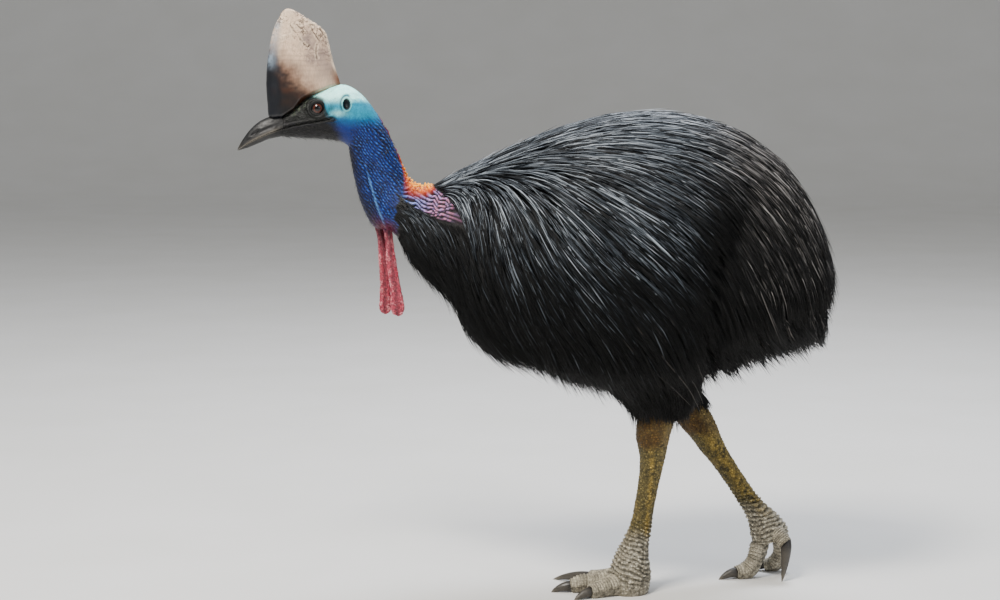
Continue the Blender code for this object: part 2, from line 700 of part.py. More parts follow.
def feather_path(t, turn, length, steps=14):
    """Follows the lie over the outline from a root, and hangs free from where the body curves under.

    Returns points, normals and the points of the core below.
    """
    path, underside, hanging = [], None, None
    ds = length / steps
    for _ in range(steps + 1):
        if hanging:
            point, normal, core = (path[-1][0] + hanging * ds, path[-1][1], path[-1][2])
            if point.z < hem_z(point.x, point.y):
                break
            path.append((point, normal, core))
            continue
        point, normal, along, around = outline_frame(t, turn)
        if underside is None:
            underside = normal.z < -0.6
        if path and t > RUMP_END - 0.5:
            break
        path.append((point, normal, body_point(min(t, CORE_END - 0.05), turn, 1.0)))
        way = lie(t, turn, point)
        way = (way - normal * way.dot(normal)).normalized()
        if normal.z < -0.38 and not underside:
            hanging = Vector((way.x, way.y * 0.3, way.z - 0.5)).normalized()
            continue
        a, b, c = along.dot(along), along.dot(around), around.dot(around)
        p, q = way.dot(along), way.dot(around)
        det = a * c - b * b
        t += ds * (p * c - q * b) / det
        turn += ds * (q * a - p * b) / det
    return path


def read_path(path, share):
    """Point, normal and core point at a share of a path's length."""
    at = share * (len(path) - 1)
    i = min(int(at), len(path) - 2)
    u = at - i
    (p0, n0, c0), (p1, n1, c1) = path[i], path[i + 1]
    return p0.lerp(p1, u), n0.lerp(n1, u).normalized(), c0.lerp(c1, u)


def lock_solid(name, collection, rows, ahead, grow=0.0):
    """A flat lock with a keel, from rows of middle point, normal, half width and thickness, to its tip."""
    rings = []
    for k, (middle, normal, half, thick) in enumerate(rows[:-1]):
        onward = (rows[k + 1][0] - rows[max(k - 1, 0)][0]).normalized()
        across = onward.cross(normal).normalized()
        slope = math.hypot(half, thick)
        wide = half + grow * (slope + half) / thick * 1.1
        top = thick * 0.55 + grow * slope / half * 1.1
        under = thick * 0.45 + grow * 1.1
        back = onward * (grow if k == 0 else 0)
        rings.append([middle - back + across * x + normal * z for x, z in ((-wide, -under), (0, top), (wide, -under))])
    tip = rows[-1][0] + ahead * (TIP_ROOM * grow)
    return loft(name, collection, rings, tip)


def lock_scale(t):
    """Locks are smaller towards the neck."""
    return min(1.0, max(SMALLEST_LOCK, body_section(t)[3] / FULL_LOCK_AT))


def coat_lock(name, collection, path, size, scale, draw, grow):
    """A lock whose root is sunk in the core and whose outer half lies on the outline."""
    rows = []
    wide = size["half_width"] * scale * MM * draw.uniform(0.9, 1.15)
    thick = size["thick"] * MM * (0.4 + 0.6 * scale)
    tip_lift = draw.uniform(-1.5, 3) * MM
    for share, width in LOCK_SHAPE:
        point, normal, core = read_path(path, share)
        climb = smooth((share + 0.02) / size["rise"])
        middle = (core - normal * ROOT_SINK).lerp(point - normal * thick * 0.55, climb)
        rows.append((middle, normal, wide * width, thick * (1 - 0.45 * share)))
    point, normal, _ = read_path(path, 1.0)
    rows.append((point + normal * (tip_lift - thick * 0.4), normal, 0, 0))
    ahead = (rows[-1][0] - rows[-2][0]).normalized()
    lock_solid(name, collection, rows, ahead, grow)


def spaced_roots(first, last, size, bare=None):
    """Roots thrown at random and kept where their locks lie clear of those beside them."""
    draw = random.Random(size["seed"])
    kept = []
    for _ in range(5200):
        t = draw.uniform(first, last)
        turn = draw.uniform(-math.pi, math.pi)
        point, normal, _, _ = outline_frame(t, turn)
        if normal.z < BARE_BELOW or (bare and bare(t, turn, point)):
            continue
        way = lie(t, turn, point)
        way = (way - normal * way.dot(normal)).normalized()
        across = normal.cross(way)
        scale = lock_scale(t) * MM
        clear = True
        for _, _, other, other_way, other_across in kept:
            apart = point - other
            beside = abs(apart.dot((across + other_across) / 2))
            along = abs(apart.dot((way + other_way) / 2))
            if apart.length < 0.2 and beside < size["beside"] * scale and along < size["row"] * scale:
                clear = False
                break
        if clear:
            kept.append((t, turn, point, way, across))
    return [(t, turn) for t, turn, _, _, _ in kept]


def torso_bare(t, turn, point):
    """Places where no torso lock grows: the bare skin at the side of the neck base, and where the thighs join."""
    skin = t < SKIN_PATCH["last"] and SKIN_PATCH["from_turn"] < abs(turn) < SKIN_PATCH["to_turn"]
    thigh = point.z < 396 * MM and 60 * MM < abs(point.y) and 110 * MM < point.x < 320 * MM
    return skin or thigh


def keeps_off_wing(path):
    """Cuts a path short before it runs over the wing's arm."""
    kept = []
    for step in path:
        for x, z, _ in WING_ARM:
            if math.hypot(step[0].x - x * MM, step[0].z - z * MM) < 34 * MM and abs(step[0].y) > 0.1:
                return kept
        kept.append(step)
    return kept


def lay_locks(collection, roots, size, grow, name):
    draw = random.Random(size["seed"] + 1)
    for k, (t, turn) in enumerate(roots):
        scale = lock_scale(t)
        length = size["length"] * scale * MM * draw.uniform(0.9, 1.12)
        path = keeps_off_wing(feather_path(t, turn, length))
        ds = length / 14
        if (len(path) - 1) * ds < SHORTEST_LOCK_MM * MM:
            continue
        coat_lock(f"{name}_{k}", collection, path, size, scale, draw, grow)


def torso_solid(work, roots, grow=0.0):
    sides = 26
    cuts = [TORSO, 12.4, 12.9, 13.5, 14.2, 15, 15.9, 16.8, 17.7, 18.6, TAIL]
    rings = [body_ring(t, sides, 1.0, grow) for t in cuts]
    rings[0] = body_ring(TORSO, sides, 1.0, grow - 2 * MM, shift=-0.5 * MM)
    rings[-1] = body_ring(TAIL, sides, 1.0, grow, shift=grow)
    core = loft("torso", work, rings)
    locks = new_collection("torso_locks")
    lay_locks(locks, roots, TORSO_LOCK, grow, "lock")
    return cut_by(fused(core, locks), neck_solid(work, max(ROOM - grow, 0)))


def tail_solid(work, roots):
    sides = 22
    cuts = [TAIL, 20.3, 20.9, 21.4, 21.8, 22.05, CORE_END - 0.01]
    rings = [body_ring(t, sides, 1.0) for t in cuts]
    rings[0] = body_ring(TAIL, sides, 1.0, shift=-2 * MM)
    core = loft("tail", work, rings)
    locks = new_collection("tail_locks")
    lay_locks(locks, roots, TAIL_LOCK, 0.0, "plume")
    return fused(core, locks)


def plumage_envelope(work):
    """The whole outline of the plumage a little larger, as one smooth body that the thighs give way to."""
    cuts = [TORSO + k * 0.5 for k in range(2 * (RUMP_END - 1 - TORSO) + 1)]
    return loft("envelope", work, [body_ring(t, 30, grow=THIGH_CLEARANCE) for t in cuts])


def thigh_solid(work, side):
    """Feathered thigh: a core that narrows to the ankle, with hanging locks round it."""
    rows = [(x, THIGH_Y[side], z, a - THIGH_COAT, b - THIGH_COAT * 0.8) for x, z, a, b in THIGHS[side]]
    core = tube("thigh", work, rows, 18, Vector((0, 1, 0)), between=2)
    locks = new_collection("thigh_locks")
    draw = random.Random(21 if side == "left" else 22)
    for row in range(THIGH_LOCKS["rows"]):
        for k in range(THIGH_LOCKS["around"]):
            turn = 2 * math.pi * (k + 0.5 * row) / THIGH_LOCKS["around"]
            level = 1.0 + 1.25 * row + draw.uniform(-0.1, 0.1)
            wide = THIGH_LOCKS["half_width"] * MM * (0.95 - 0.25 * row) * draw.uniform(0.9, 1.1)
            line = []
            for share, width in (*LOCK_SHAPE, (1.0, 0.0)):
                at = level + 2.1 * share
                x, z, a, b = spline(THIGHS[side], at)
                z -= max(0.0, at - 4) * 24 + draw.uniform(0, 5) * share
                climb = smooth((share + 0.02) / 0.45)
                out = climb * THIGH_COAT - (1 - climb) * 6
                a, b = a - THIGH_COAT + out, b - THIGH_COAT * 0.8 + out * 0.8
                normal = Vector((math.cos(turn), math.sin(turn), 0.15)).normalized()
                middle = Vector((x + a * math.cos(turn), THIGH_Y[side] + b * math.sin(turn), z)) * MM
                line.append((middle, normal, wide * width, THIGH_LOCKS["thick"] * MM * (1 - 0.5 * share)))
            ahead = (line[-1][0] - line[-2][0]).normalized()
            lock_solid(f"thigh_lock_{row}_{k}", locks, line, ahead)
    return fused(core, locks)


def scute_steps(count, first=0.0):
    """Raised overlapping plates on the upper half of a tube, as a sawtooth along its length."""
    def rise(share, turn):
        if share <= first or math.sin(turn) < 0.25:
            return 0.0
        return SCUTE_RISE * (((share - first) / (1 - first) * count) % 1.0)
    return rise


def shank_solid(work, side, grow=0.0):
    return tube("shank", work, SHANKS[side], 12, Vector((-1, 0, 0.35)), between=2, grow=grow,
                floor=None if grow else 0.0)


def make_legs(parts, work, materials):
    for side in SIDES:
        thigh = thigh_solid(work, side)
        cut_by(thigh, plumage_envelope(work))
        cut_by(thigh, shank_solid(work, side, ROOM))
        finish(thigh, f"thigh_{side}", parts, materials["plumage"])
        shank = shank_solid(work, side)
        finish(shank, f"shank_{side}", parts, materials["leg_scales"])
        for toe in ("middle", "inner", "outer"):
            make_toe(parts, work, materials, side, toe)


def toe_solid(work, name, grow=0.0):
    side, toe = name.split("_")
    up_hint = Vector((0, 0, 1)) if side == "left" else Vector((-1, -0.3, 0.6))
    rise = scute_steps(SCUTES_PER_TOE[toe], 0.2)
    return tube("toe", work, TOES[name], 8, up_hint, between=3, rise=rise, grow=grow,
                floor=None if grow else 0.0)


def make_toe(parts, work, materials, side, toe):
    """A toe gives way to the shank, to its claw and to the middle toe beside it."""
    name = f"{side}_{toe}"
    solid = toe_solid(work, name)
    cut_by(solid, shank_solid(work, side, ROOM))
    cut_by(solid, claw_solid(work, name, ROOM))
    if toe != "middle":
        cut_by(solid, toe_solid(work, f"{side}_middle", ROOM))
    finish(solid, f"toe_{name}", parts, materials["leg_scales"])
    finish(claw_solid(work, name), f"claw_{name}", parts, materials["claw_horn"])


def claw_solid(work, name, grow=0.0):
    """A horn cone, bent along its three points, with its root sunk in the end of the toe."""
    root, middle, point = (Vector(p) for p in CLAWS[name])
    half = CLAW_WIDTHS[name.split("_")[1]]
    back = (root - middle).normalized()
    rows = []
    for share, width in CLAW_SHAPE:
        u = max(share, 0.0)
        at = root * (1 - u) ** 2 + middle * 2 * u * (1 - u) + point * u * u + back * max(-share, 0) * CLAW_ROOT_MM
        rows.append((*at, half * width, half * width * 1.05))
    up_hint = Vector((0, 0, 1)) if abs(back.z) < 0.8 else Vector((-1, 0, 0))
    tip = (point + (point - middle).normalized()) * MM
    tip.z = max(tip.z, 0.0)
    return tube("claw", work, rows, 8, up_hint, grow=grow, floor=None if grow else 0.0, tip=tip)


def make_wings(work, grow=0.0):
    """Stub wings on the flanks, each with its bare quills hanging over the plumage."""
    made = []
    for side, sign in SIDES.items():
        rows = []
        for x, z, radius in WING_ARM:
            y = side_y(x, z, first=TORSO) / MM - WING_ARM_SUNK
            rows.append((x, sign * y, z, radius, radius * 0.85))
        arm = tube("wing", work, rows, 10, Vector((0, 0, 1)), between=2, grow=grow)
        quills = new_collection("quills")
        for k, line in enumerate(QUILLS):
            rows = []
            hang_y = None
            for n in range(6):
                share = n / 5
                x, z = spline(line, share * (len(line) - 1))
                if z > QUILL_HANGS_BELOW_Z or hang_y is None:
                    hang_y = side_y(x, max(z, QUILL_HANGS_BELOW_Z), first=TORSO) / MM
                clear = (QUILL_CLEARANCE + WING_ARM_SUNK) * smooth(share / 0.2) - WING_ARM_SUNK
                inward = max(0.0, QUILL_HANGS_BELOW_Z - z) * 0.2
                radius = QUILL_RADIUS * (1 - 0.75 * share ** 2) + grow / MM
                rows.append((x, sign * (hang_y + clear - inward), z, radius, radius))
            tube(f"quill_{k}", quills, rows, 4, Vector((0, 1, 0)))
        made.append((side, fused(arm, quills)))
    return made


def main():
    clear_scene()
    parts = new_collection("cassowary")
    work = new_collection("work")
    materials = make_materials()

    make_head(parts, work, materials)
    make_bill(parts, work, materials)
    make_casque(parts, work, materials)
    make_neck(parts, work, materials)
    make_wattles(parts, work, materials)

    torso_roots = spaced_roots(TORSO + 0.12, TAIL - 0.1, TORSO_LOCK, torso_bare)
    tail_roots = spaced_roots(TAIL + 0.15, 21.6, TAIL_LOCK)
    torso = torso_solid(work, torso_roots)
    for _, wing_room in make_wings(work, ROOM):
        cut_by(torso, wing_room)
    torso_room = torso_solid(work, torso_roots, PLUME_ROOM)
    tail = tail_solid(work, tail_roots)
    cut_by(tail, torso_room)
    finish(torso, "torso", parts, materials["plumage"])
    finish(tail, "tail", parts, materials["plumage"])
    for side, wing in make_wings(work):
        finish(wing, f"wing_{side}", parts, materials["quill_horn"])
    make_legs(parts, work, materials)
    remove(work.objects)
    bpy.data.collections.remove(work)


main()
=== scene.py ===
import math

import bmesh
import bpy
import numpy as np
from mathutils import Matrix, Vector, noise


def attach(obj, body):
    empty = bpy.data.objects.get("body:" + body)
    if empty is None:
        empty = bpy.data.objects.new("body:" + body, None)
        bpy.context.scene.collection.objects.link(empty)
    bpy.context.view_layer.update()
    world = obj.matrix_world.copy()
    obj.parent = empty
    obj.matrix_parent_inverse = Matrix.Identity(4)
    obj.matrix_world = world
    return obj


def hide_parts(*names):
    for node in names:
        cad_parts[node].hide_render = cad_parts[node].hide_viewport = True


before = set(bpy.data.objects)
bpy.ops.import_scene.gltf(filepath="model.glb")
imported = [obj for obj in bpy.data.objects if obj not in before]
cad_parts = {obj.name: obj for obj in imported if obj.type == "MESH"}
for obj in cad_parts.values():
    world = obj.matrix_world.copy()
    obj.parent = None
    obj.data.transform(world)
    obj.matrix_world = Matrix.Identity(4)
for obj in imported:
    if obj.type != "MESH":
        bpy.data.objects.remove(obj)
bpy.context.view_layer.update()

mm = 0.001
sides = {"left": -1, "right": 1}

# Cross sections from the bill's root to the rump, in mm: x, z of the upper edge, x, z of the lower edge, half width.
bodySections = (
    (-481, 914, -482, 869, 21), (-449, 936, -446, 867, 28), (-420, 952, -408, 865, 35),
    (-391, 963, -385, 862, 38), (-365, 966, -368, 857, 39), (-342, 956, -358, 850, 37),
    (-320, 935, -356, 844, 35), (-303, 910, -355, 836, 33), (-276, 861, -351, 812, 32),
    (-261, 823, -344, 778, 33), (-247, 792, -332, 736, 36), (-229, 775, -310, 697, 42),
    (-201, 774, -271, 682, 50), (-136, 806, -236, 628, 82), (-69, 838, -172, 558, 120),
    (7, 869, -118, 484, 157), (82, 893, -32, 428, 186), (158, 908, 78, 390, 204),
    (234, 911, 200, 374, 211), (310, 900, 318, 402, 206), (388, 872, 404, 438, 190),
    (468, 814, 474, 452, 162), (523, 735, 526, 466, 124), (556, 650, 553, 496, 78),
    (573, 560, 573, 556, 4),
)
neckStart, torsoStart, rumpEnd = 7, 12, 24
# Depth of the coat at each section from the torso's start, in mm: top, side, bottom.
coatDepths = (
    (0, 0, 0), (6, 7, 8), (11, 13, 20), (15, 18, 32), (17, 22, 40), (18, 24, 44), (19, 24, 44), (20, 26, 42),
    (24, 28, 40), (30, 32, 40),
)
coreRounding = {"from": 19.4, "end": 22.2}
headTurn = {"angle": math.radians(7), "pivot": -0.330, "from": -0.250, "to": -0.380}


# Plain helpers

def linear(hexColour):
    values = [int(hexColour[i:i + 2], 16) / 255 for i in (1, 3, 5)]
    return [v / 12.92 if v <= 0.04045 else ((v + 0.055) / 1.055) ** 2.4 for v in values] + [1.0]


def smooth(value):
    value = np.clip(value, 0.0, 1.0)
    return value * value * (3 - 2 * value)


def rise(value, low, high):
    return smooth((value - low) / (high - low))


def bump(value, middle, width):
    return np.exp(-((value - middle) / width) ** 2)


def spline(rows, at):
    # Catmull-Rom through rows of numbers, one unit of at for each row
    rows = np.asarray(rows, float)
    last = len(rows) - 1
    at = np.clip(np.asarray(at, float), 0, last)
    i = np.minimum(at.astype(int), last - 1)
    u = (at - i)[..., None]
    a, b, c, d = (rows[np.clip(i + k, 0, last)] for k in (-1, 0, 1, 2))
    return 0.5 * (2 * b + (c - a) * u + (2 * a - 5 * b + 4 * c - d) * u * u + (3 * b - a - 3 * c + d) * u ** 3)


def unit(vectors):
    return vectors / np.maximum(np.linalg.norm(vectors, axis=-1, keepdims=True), 1e-12)


def grain(points, size, shift=0.0):
    # Smooth noise from -1 to 1 at each point, with lumps about size across
    flat = (points.reshape(-1, 3) / size + shift).tolist()
    return np.array([noise.noise(Vector(p)) for p in flat]).reshape(points.shape[:-1])


def lineDistance(x, z, line):
    # Distance in the side view from each point to a run of points, and how far along the run it is
    best = np.full(np.shape(x), 1e9)
    share = np.zeros(np.shape(x))
    for k, ((x0, z0), (x1, z1)) in enumerate(zip(line, line[1:])):
        u = np.clip(((x - x0) * (x1 - x0) + (z - z0) * (z1 - z0)) / ((x1 - x0) ** 2 + (z1 - z0) ** 2), 0, 1)
        away = np.hypot(x - x0 - u * (x1 - x0), z - z0 - u * (z1 - z0))
        share = np.where(away < best, (k + u) / (len(line) - 1), share)
        best = np.minimum(best, away)
    return best, share


def insideOutline(x, z, corners):
    inside = np.zeros(np.shape(x), bool)
    for (x0, z0), (x1, z1) in zip(corners, corners[1:] + corners[:1]):
        crosses = (z0 > z) != (z1 > z)
        inside ^= crosses & (x < (x1 - x0) * (z - z0) / (z1 - z0 + 1e-12) + x0)
    return inside


# The body's surface

def bodyFrame(t):
    row = spline(bodySections, t) * mm
    zero = np.zeros_like(row[..., 0])
    top = np.stack([row[..., 0], zero, row[..., 1]], -1)
    low = np.stack([row[..., 2], zero, row[..., 3]], -1)
    height = np.linalg.norm(top - low, axis=-1)
    return (top + low) / 2, (top - low) / height[..., None], height / 2, row[..., 4]


def bodyPoint(t, turn, coat=0.0):
    # Point at section t, turned from the back line (0) to the belly (pi); coat 1 is the core under the feathers
    t, turn = np.broadcast_arrays(np.asarray(t, float), np.asarray(turn, float))
    centre, up, height, width = bodyFrame(t)
    depths = spline(coatDepths, np.clip(t - torsoStart, 0, len(coatDepths) - 1)) * mm
    depths = depths * np.where(t > torsoStart, coat, 0.0)[..., None]
    past = np.clip((t - coreRounding["from"]) / (coreRounding["end"] - coreRounding["from"]), 0, 1)
    closing = 1 - coat * (1 - np.sqrt(1 - past * past))
    across, along = np.sin(turn), np.cos(turn)
    top, low = (height - depths[..., 0]) * closing, (height - depths[..., 2]) * closing
    width = (width - depths[..., 1]) * closing
    lift = np.where(along > 0, top, low) * along
    lift = lift - 0.14 * smooth((t - torsoStart) / 3) * low * across * across
    point = centre + up * lift[..., None]
    point[..., 1] += width * across
    return point


def bodyFrameAt(t, turn):
    # Point on the feathered outline with its outward normal and its two slopes
    step = 0.02
    point = bodyPoint(t, turn)
    along = (bodyPoint(t + step, turn) - bodyPoint(t - step, turn)) / (2 * step)
    around = (bodyPoint(t, turn + step) - bodyPoint(t, turn - step)) / (2 * step)
    normal = unit(np.cross(around, along))
    outward = np.sum(normal * (point - bodyFrame(t)[0]), -1)
    normal = normal * np.where(outward < 0, -1.0, 1.0)[..., None]
    return point, normal, along, around


def turnHead(points):
    share = smooth((points[..., 0] - headTurn["from"]) / (headTurn["to"] - headTurn["from"]))
    angle = headTurn["angle"] * share
    x, y = points[..., 0] - headTurn["pivot"], points[..., 1]
    turned = points.copy()
    turned[..., 0] = headTurn["pivot"] + x * np.cos(angle) - y * np.sin(angle)
    turned[..., 1] = x * np.sin(angle) + y * np.cos(angle)
    return turned


def flankPoint(x, z, first=0.0, last=24.0, coat=0.0):
    # Half width of the body where the side view shows the point x, z
    t, turn = np.meshgrid(np.linspace(first, last, 400), np.linspace(0, math.pi, 241), indexing="ij")
    points = bodyPoint(t, turn, coat)
    away = (points[..., 0] - x) ** 2 + (points[..., 2] - z) ** 2
    best = np.unravel_index(np.argmin(away), away.shape)
    return float(points[best][1])


# Meshes

def meshFrom(name, verts, faceSets):
    # One mesh from arrays of points and of faces with three or four corners
    mesh = bpy.data.meshes.new(name)
    mesh.vertices.add(len(verts))
    mesh.vertices.foreach_set("co", np.ascontiguousarray(verts, np.float32).ravel())
    corners = np.concatenate([f.ravel() for f in faceSets]).astype(np.int32)
    counts = np.concatenate([np.full(len(f), f.shape[1]) for f in faceSets])
    mesh.loops.add(len(corners))
    mesh.loops.foreach_set("vertex_index", corners)
    mesh.polygons.add(len(counts))
    mesh.polygons.foreach_set("loop_start", (np.cumsum(counts) - counts).astype(np.int32))
    mesh.update(calc_edges=True)
    mesh.validate()
    return mesh


def outward(mesh):
    work = bmesh.new()
    work.from_mesh(mesh)
    bmesh.ops.recalc_face_normals(work, faces=work.faces)
    work.to_mesh(mesh)
    work.free()
    return mesh


def loftArrays(rings):
    # Rings of equally many points joined to a closed skin, each end closed round its middle
    count, around = rings.shape[:2]
    verts = np.concatenate([rings.reshape(-1, 3), rings[0].mean(0)[None], rings[-1].mean(0)[None]])
    k, j = np.meshgrid(np.arange(count - 1), np.arange(around), indexing="ij")
    a = (k * around + j).ravel()
    b = (k * around + (j + 1) % around).ravel()
    quads = np.stack([a, b, b + around, a + around], -1)
    j = np.arange(around)
    following = (j + 1) % around
    first, last = count * around, count * around + 1
    ends = (count - 1) * around
    tris = np.concatenate([
        np.stack([following, j, np.full(around, first)], -1),
        np.stack([ends + j, ends + following, np.full(around, last)], -1)])
    return verts, quads, tris


def joinArrays(parts):
    # Several sets of points with their faces as one set
    verts, quads, tris, start = [], [], [], 0
    for points, four, three in parts:
        verts.append(points)
        quads.append(four + start)
        tris.append(three + start)
        start += len(points)
    return np.concatenate(verts), np.concatenate(quads), np.concatenate(tris)


def pathFrames(points, upHint):
    ahead = np.empty_like(points)
    ahead[1:-1] = points[2:] - points[:-2]
    ahead[0] = points[1] - points[0]
    ahead[-1] = points[-1] - points[-2]
    ahead = unit(ahead)
    side = unit(np.cross(ahead, np.asarray(upHint, float)))
    return ahead, side, unit(np.cross(side, ahead))


def tubeRings(rows, count, around, upHint, shape=None):
    # Rings along rows of x, y, z, half width, half height in mm; shape(share, turn) scales the radius
    share = np.linspace(0, 1, count)
    cuts = spline(rows, share * (len(rows) - 1)) * mm
    _, side, up = pathFrames(cuts[:, :3], upHint)
    turn = 2 * math.pi * np.arange(around) / around
    shareGrid, turnGrid = np.meshgrid(share, turn, indexing="ij")
    scale = 1 + (shape(shareGrid, turnGrid) if shape else 0.0)
    wide = (cuts[:, 3:4] * scale * np.cos(turnGrid))[..., None]
    high = (cuts[:, 4:5] * scale * np.sin(turnGrid))[..., None]
    return cuts[:, None, :3] + side[:, None] * wide + up[:, None] * high, shareGrid, turnGrid


def ringNormals(rings):
    # Outward normals of a grid of rings
    around = np.roll(rings, -1, 1) - np.roll(rings, 1, 1)
    along = np.empty_like(rings)
    along[1:-1] = rings[2:] - rings[:-2]
    along[0] = rings[1] - rings[0]
    along[-1] = rings[-1] - rings[-2]
    normal = unit(np.cross(around, along))
    middle = rings.mean(1, keepdims=True)
    facing = np.sum(normal * (rings - middle), -1).mean()
    return normal if facing > 0 else -normal


def setNumbers(mesh, name, values):
    layer = mesh.attributes.new(name, "FLOAT", "POINT")
    layer.data.foreach_set("value", np.ascontiguousarray(values, np.float32).ravel())


def setColours(mesh, name, values):
    layer = mesh.attributes.new(name, "FLOAT_COLOR", "POINT")
    full = np.ones((len(values), 4), np.float32)
    full[:, :3] = values[:, :3]
    layer.data.foreach_set("color", full.ravel())


def piece(name, mesh, materials, nodes=()):
    # Puts a mesh in the scene as a piece that rides on the one body
    mesh.name = name
    mesh.materials.clear()
    for material in materials:
        mesh.materials.append(material)
    mesh.shade_smooth()
    obj = bpy.data.objects.new(name, mesh)
    bpy.context.scene.collection.objects.link(obj)
    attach(obj, "root")
    if nodes:
        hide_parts(*nodes)
    return obj


# Materials

def addNode(tree, kind, values=None, links=None, ramp=None, **settings):
    # Adds a node, its settings, the values of its sockets and what is linked to them
    node = tree.nodes.new(kind)
    for name, value in settings.items():
        setattr(node, name, value)
    for socket, value in (values or {}).items():
        node.inputs[socket].default_value = value
    for socket, source in (links or {}).items():
        tree.links.new(source, node.inputs[socket])
    if ramp:
        while len(node.color_ramp.elements) < len(ramp):
            node.color_ramp.elements.new(0.5)
        for element, (place, colour) in zip(node.color_ramp.elements, ramp):
            element.position = place
            element.color = linear(colour) if isinstance(colour, str) else (colour, colour, colour, 1)
    return node


def newMaterial(name, **values):
    material = bpy.data.materials.new(name)
    material.use_nodes = True
    tree = material.node_tree
    shader = tree.nodes["Principled BSDF"]
    for socket, value in values.items():
        shader.inputs[socket.replace("_", " ")].default_value = value
    return material, tree, shader


def skinMaterial():
    # Bare living skin: soft broad shine on the wrinkles, with painted highlight on their crests and painted shade in
    # the folds
    material, tree, shader = newMaterial("bare_wrinkled_skin", Roughness=0.5, Subsurface_Weight=0.06,
                                         Subsurface_Scale=0.004, Specular_IOR_Level=0.3)
    place = addNode(tree, "ShaderNodeTexCoord").outputs["Object"]
    tint = addNode(tree, "ShaderNodeAttribute", attribute_name="tint")
    crease = addNode(tree, "ShaderNodeAttribute", attribute_name="crease")
    # pebbled skin about 1.6 mm across, and pores under it
    pebbles = addNode(tree, "ShaderNodeTexVoronoi", {"Scale": 620.0, "Randomness": 0.9}, {"Vector": place})
    pores = addNode(tree, "ShaderNodeTexNoise", {"Scale": 1400.0, "Detail": 3.0}, {"Vector": place})
    blotch = addNode(tree, "ShaderNodeTexNoise", {"Scale": 90.0, "Detail": 4.0}, {"Vector": place})
    darker = addNode(tree, "ShaderNodeMapRange", {"From Min": 0.25, "From Max": 0.75, "To Min": 0.72, "To Max": 1.22},
                     {"Value": blotch.outputs["Fac"]})
    # painted shade in the folds and painted highlight on the crests, from the crease value
    foldShadeAndHighlight = addNode(tree, "ShaderNodeMapRange", {"From Min": -1.0, "From Max": 1.0, "To Min": 0.32, "To Max": 1.5},
                     {"Value": crease.outputs["Fac"]})
    pit = addNode(tree, "ShaderNodeMapRange", {"From Min": 0.0, "From Max": 0.55, "To Min": 1.12, "To Max": 0.7},
                  {"Value": pebbles.outputs["Distance"]})
    light = addNode(tree, "ShaderNodeMath", None, {0: darker.outputs[0], 1: foldShadeAndHighlight.outputs[0]}, operation="MULTIPLY")
    light = addNode(tree, "ShaderNodeMath", None, {0: light.outputs[0], 1: pit.outputs[0]}, operation="MULTIPLY")
    colour = addNode(tree, "ShaderNodeVectorMath", None, {0: tint.outputs["Color"], 1: light.outputs[0]},
                     operation="MULTIPLY")
    tree.links.new(colour.outputs[0], shader.inputs["Base Color"])
    rough = addNode(tree, "ShaderNodeMapRange", {"From Min": -1.0, "From Max": 1.0, "To Min": 0.62, "To Max": 0.42},
                    {"Value": crease.outputs["Fac"]})
    tree.links.new(rough.outputs[0], shader.inputs["Roughness"])
    fine = addNode(tree, "ShaderNodeBump", {"Strength": 0.35, "Distance": 0.0004}, {"Height": pores.outputs["Fac"]})
    coarse = addNode(tree, "ShaderNodeBump", {"Strength": 0.6, "Distance": 0.0007},
                     {"Height": pebbles.outputs["Distance"], "Normal": fine.outputs[0]}, invert=True)
    tree.links.new(coarse.outputs[0], shader.inputs["Normal"])
    return material


def plumageMaterial():
    # Hair-like black feathers: each strand's tone carries painted light, a long bluish painted sheen on the back, and
    # the strands turn brown towards the rump
    material, tree, shader = newMaterial("glossy_black_feather", Roughness=0.36, Specular_IOR_Level=0.26)
    place = addNode(tree, "ShaderNodeTexCoord").outputs["Object"]
    toneAndPaintedLight = addNode(tree, "ShaderNodeAttribute", attribute_name="toneAndPaintedLight")
    warm = addNode(tree, "ShaderNodeAttribute", attribute_name="warm")
    # the pale ends of both ramps are painted highlight
    cool = addNode(tree, "ShaderNodeValToRGB", None, {"Fac": toneAndPaintedLight.outputs["Fac"]},
                   ramp=((0.0, "#010101"), (0.34, "#050607"), (0.52, "#1c2025"), (0.7, "#545b63"), (1.0, "#a9b1b9")))
    brown = addNode(tree, "ShaderNodeValToRGB", None, {"Fac": toneAndPaintedLight.outputs["Fac"]},
                    ramp=((0.0, "#010101"), (0.34, "#060504"), (0.52, "#1e1a16"), (0.7, "#4c443c"), (1.0, "#8f857b")))
    mixed = addNode(tree, "ShaderNodeMix", None, {0: warm.outputs["Fac"], 6: cool.outputs[0], 7: brown.outputs[0]},
                    data_type="RGBA")
    tree.links.new(mixed.outputs[2], shader.inputs["Base Color"])
    # barbs are finer than a pixel, so the grain is drawn about 2 mm long
    barbs = addNode(tree, "ShaderNodeTexNoise", {"Scale": 500.0, "Detail": 2.0}, {"Vector": place})
    dull = addNode(tree, "ShaderNodeMapRange", {"From Min": 0.2, "From Max": 0.8, "To Min": 0.5, "To Max": 0.28},
                   {"Value": toneAndPaintedLight.outputs["Fac"]})
    rough = addNode(tree, "ShaderNodeMath", {1: 0.16, 2: 0.0}, {0: barbs.outputs["Fac"], 2: dull.outputs[0]},
                    operation="MULTIPLY_ADD")
    tree.links.new(rough.outputs[0], shader.inputs["Roughness"])
    return material


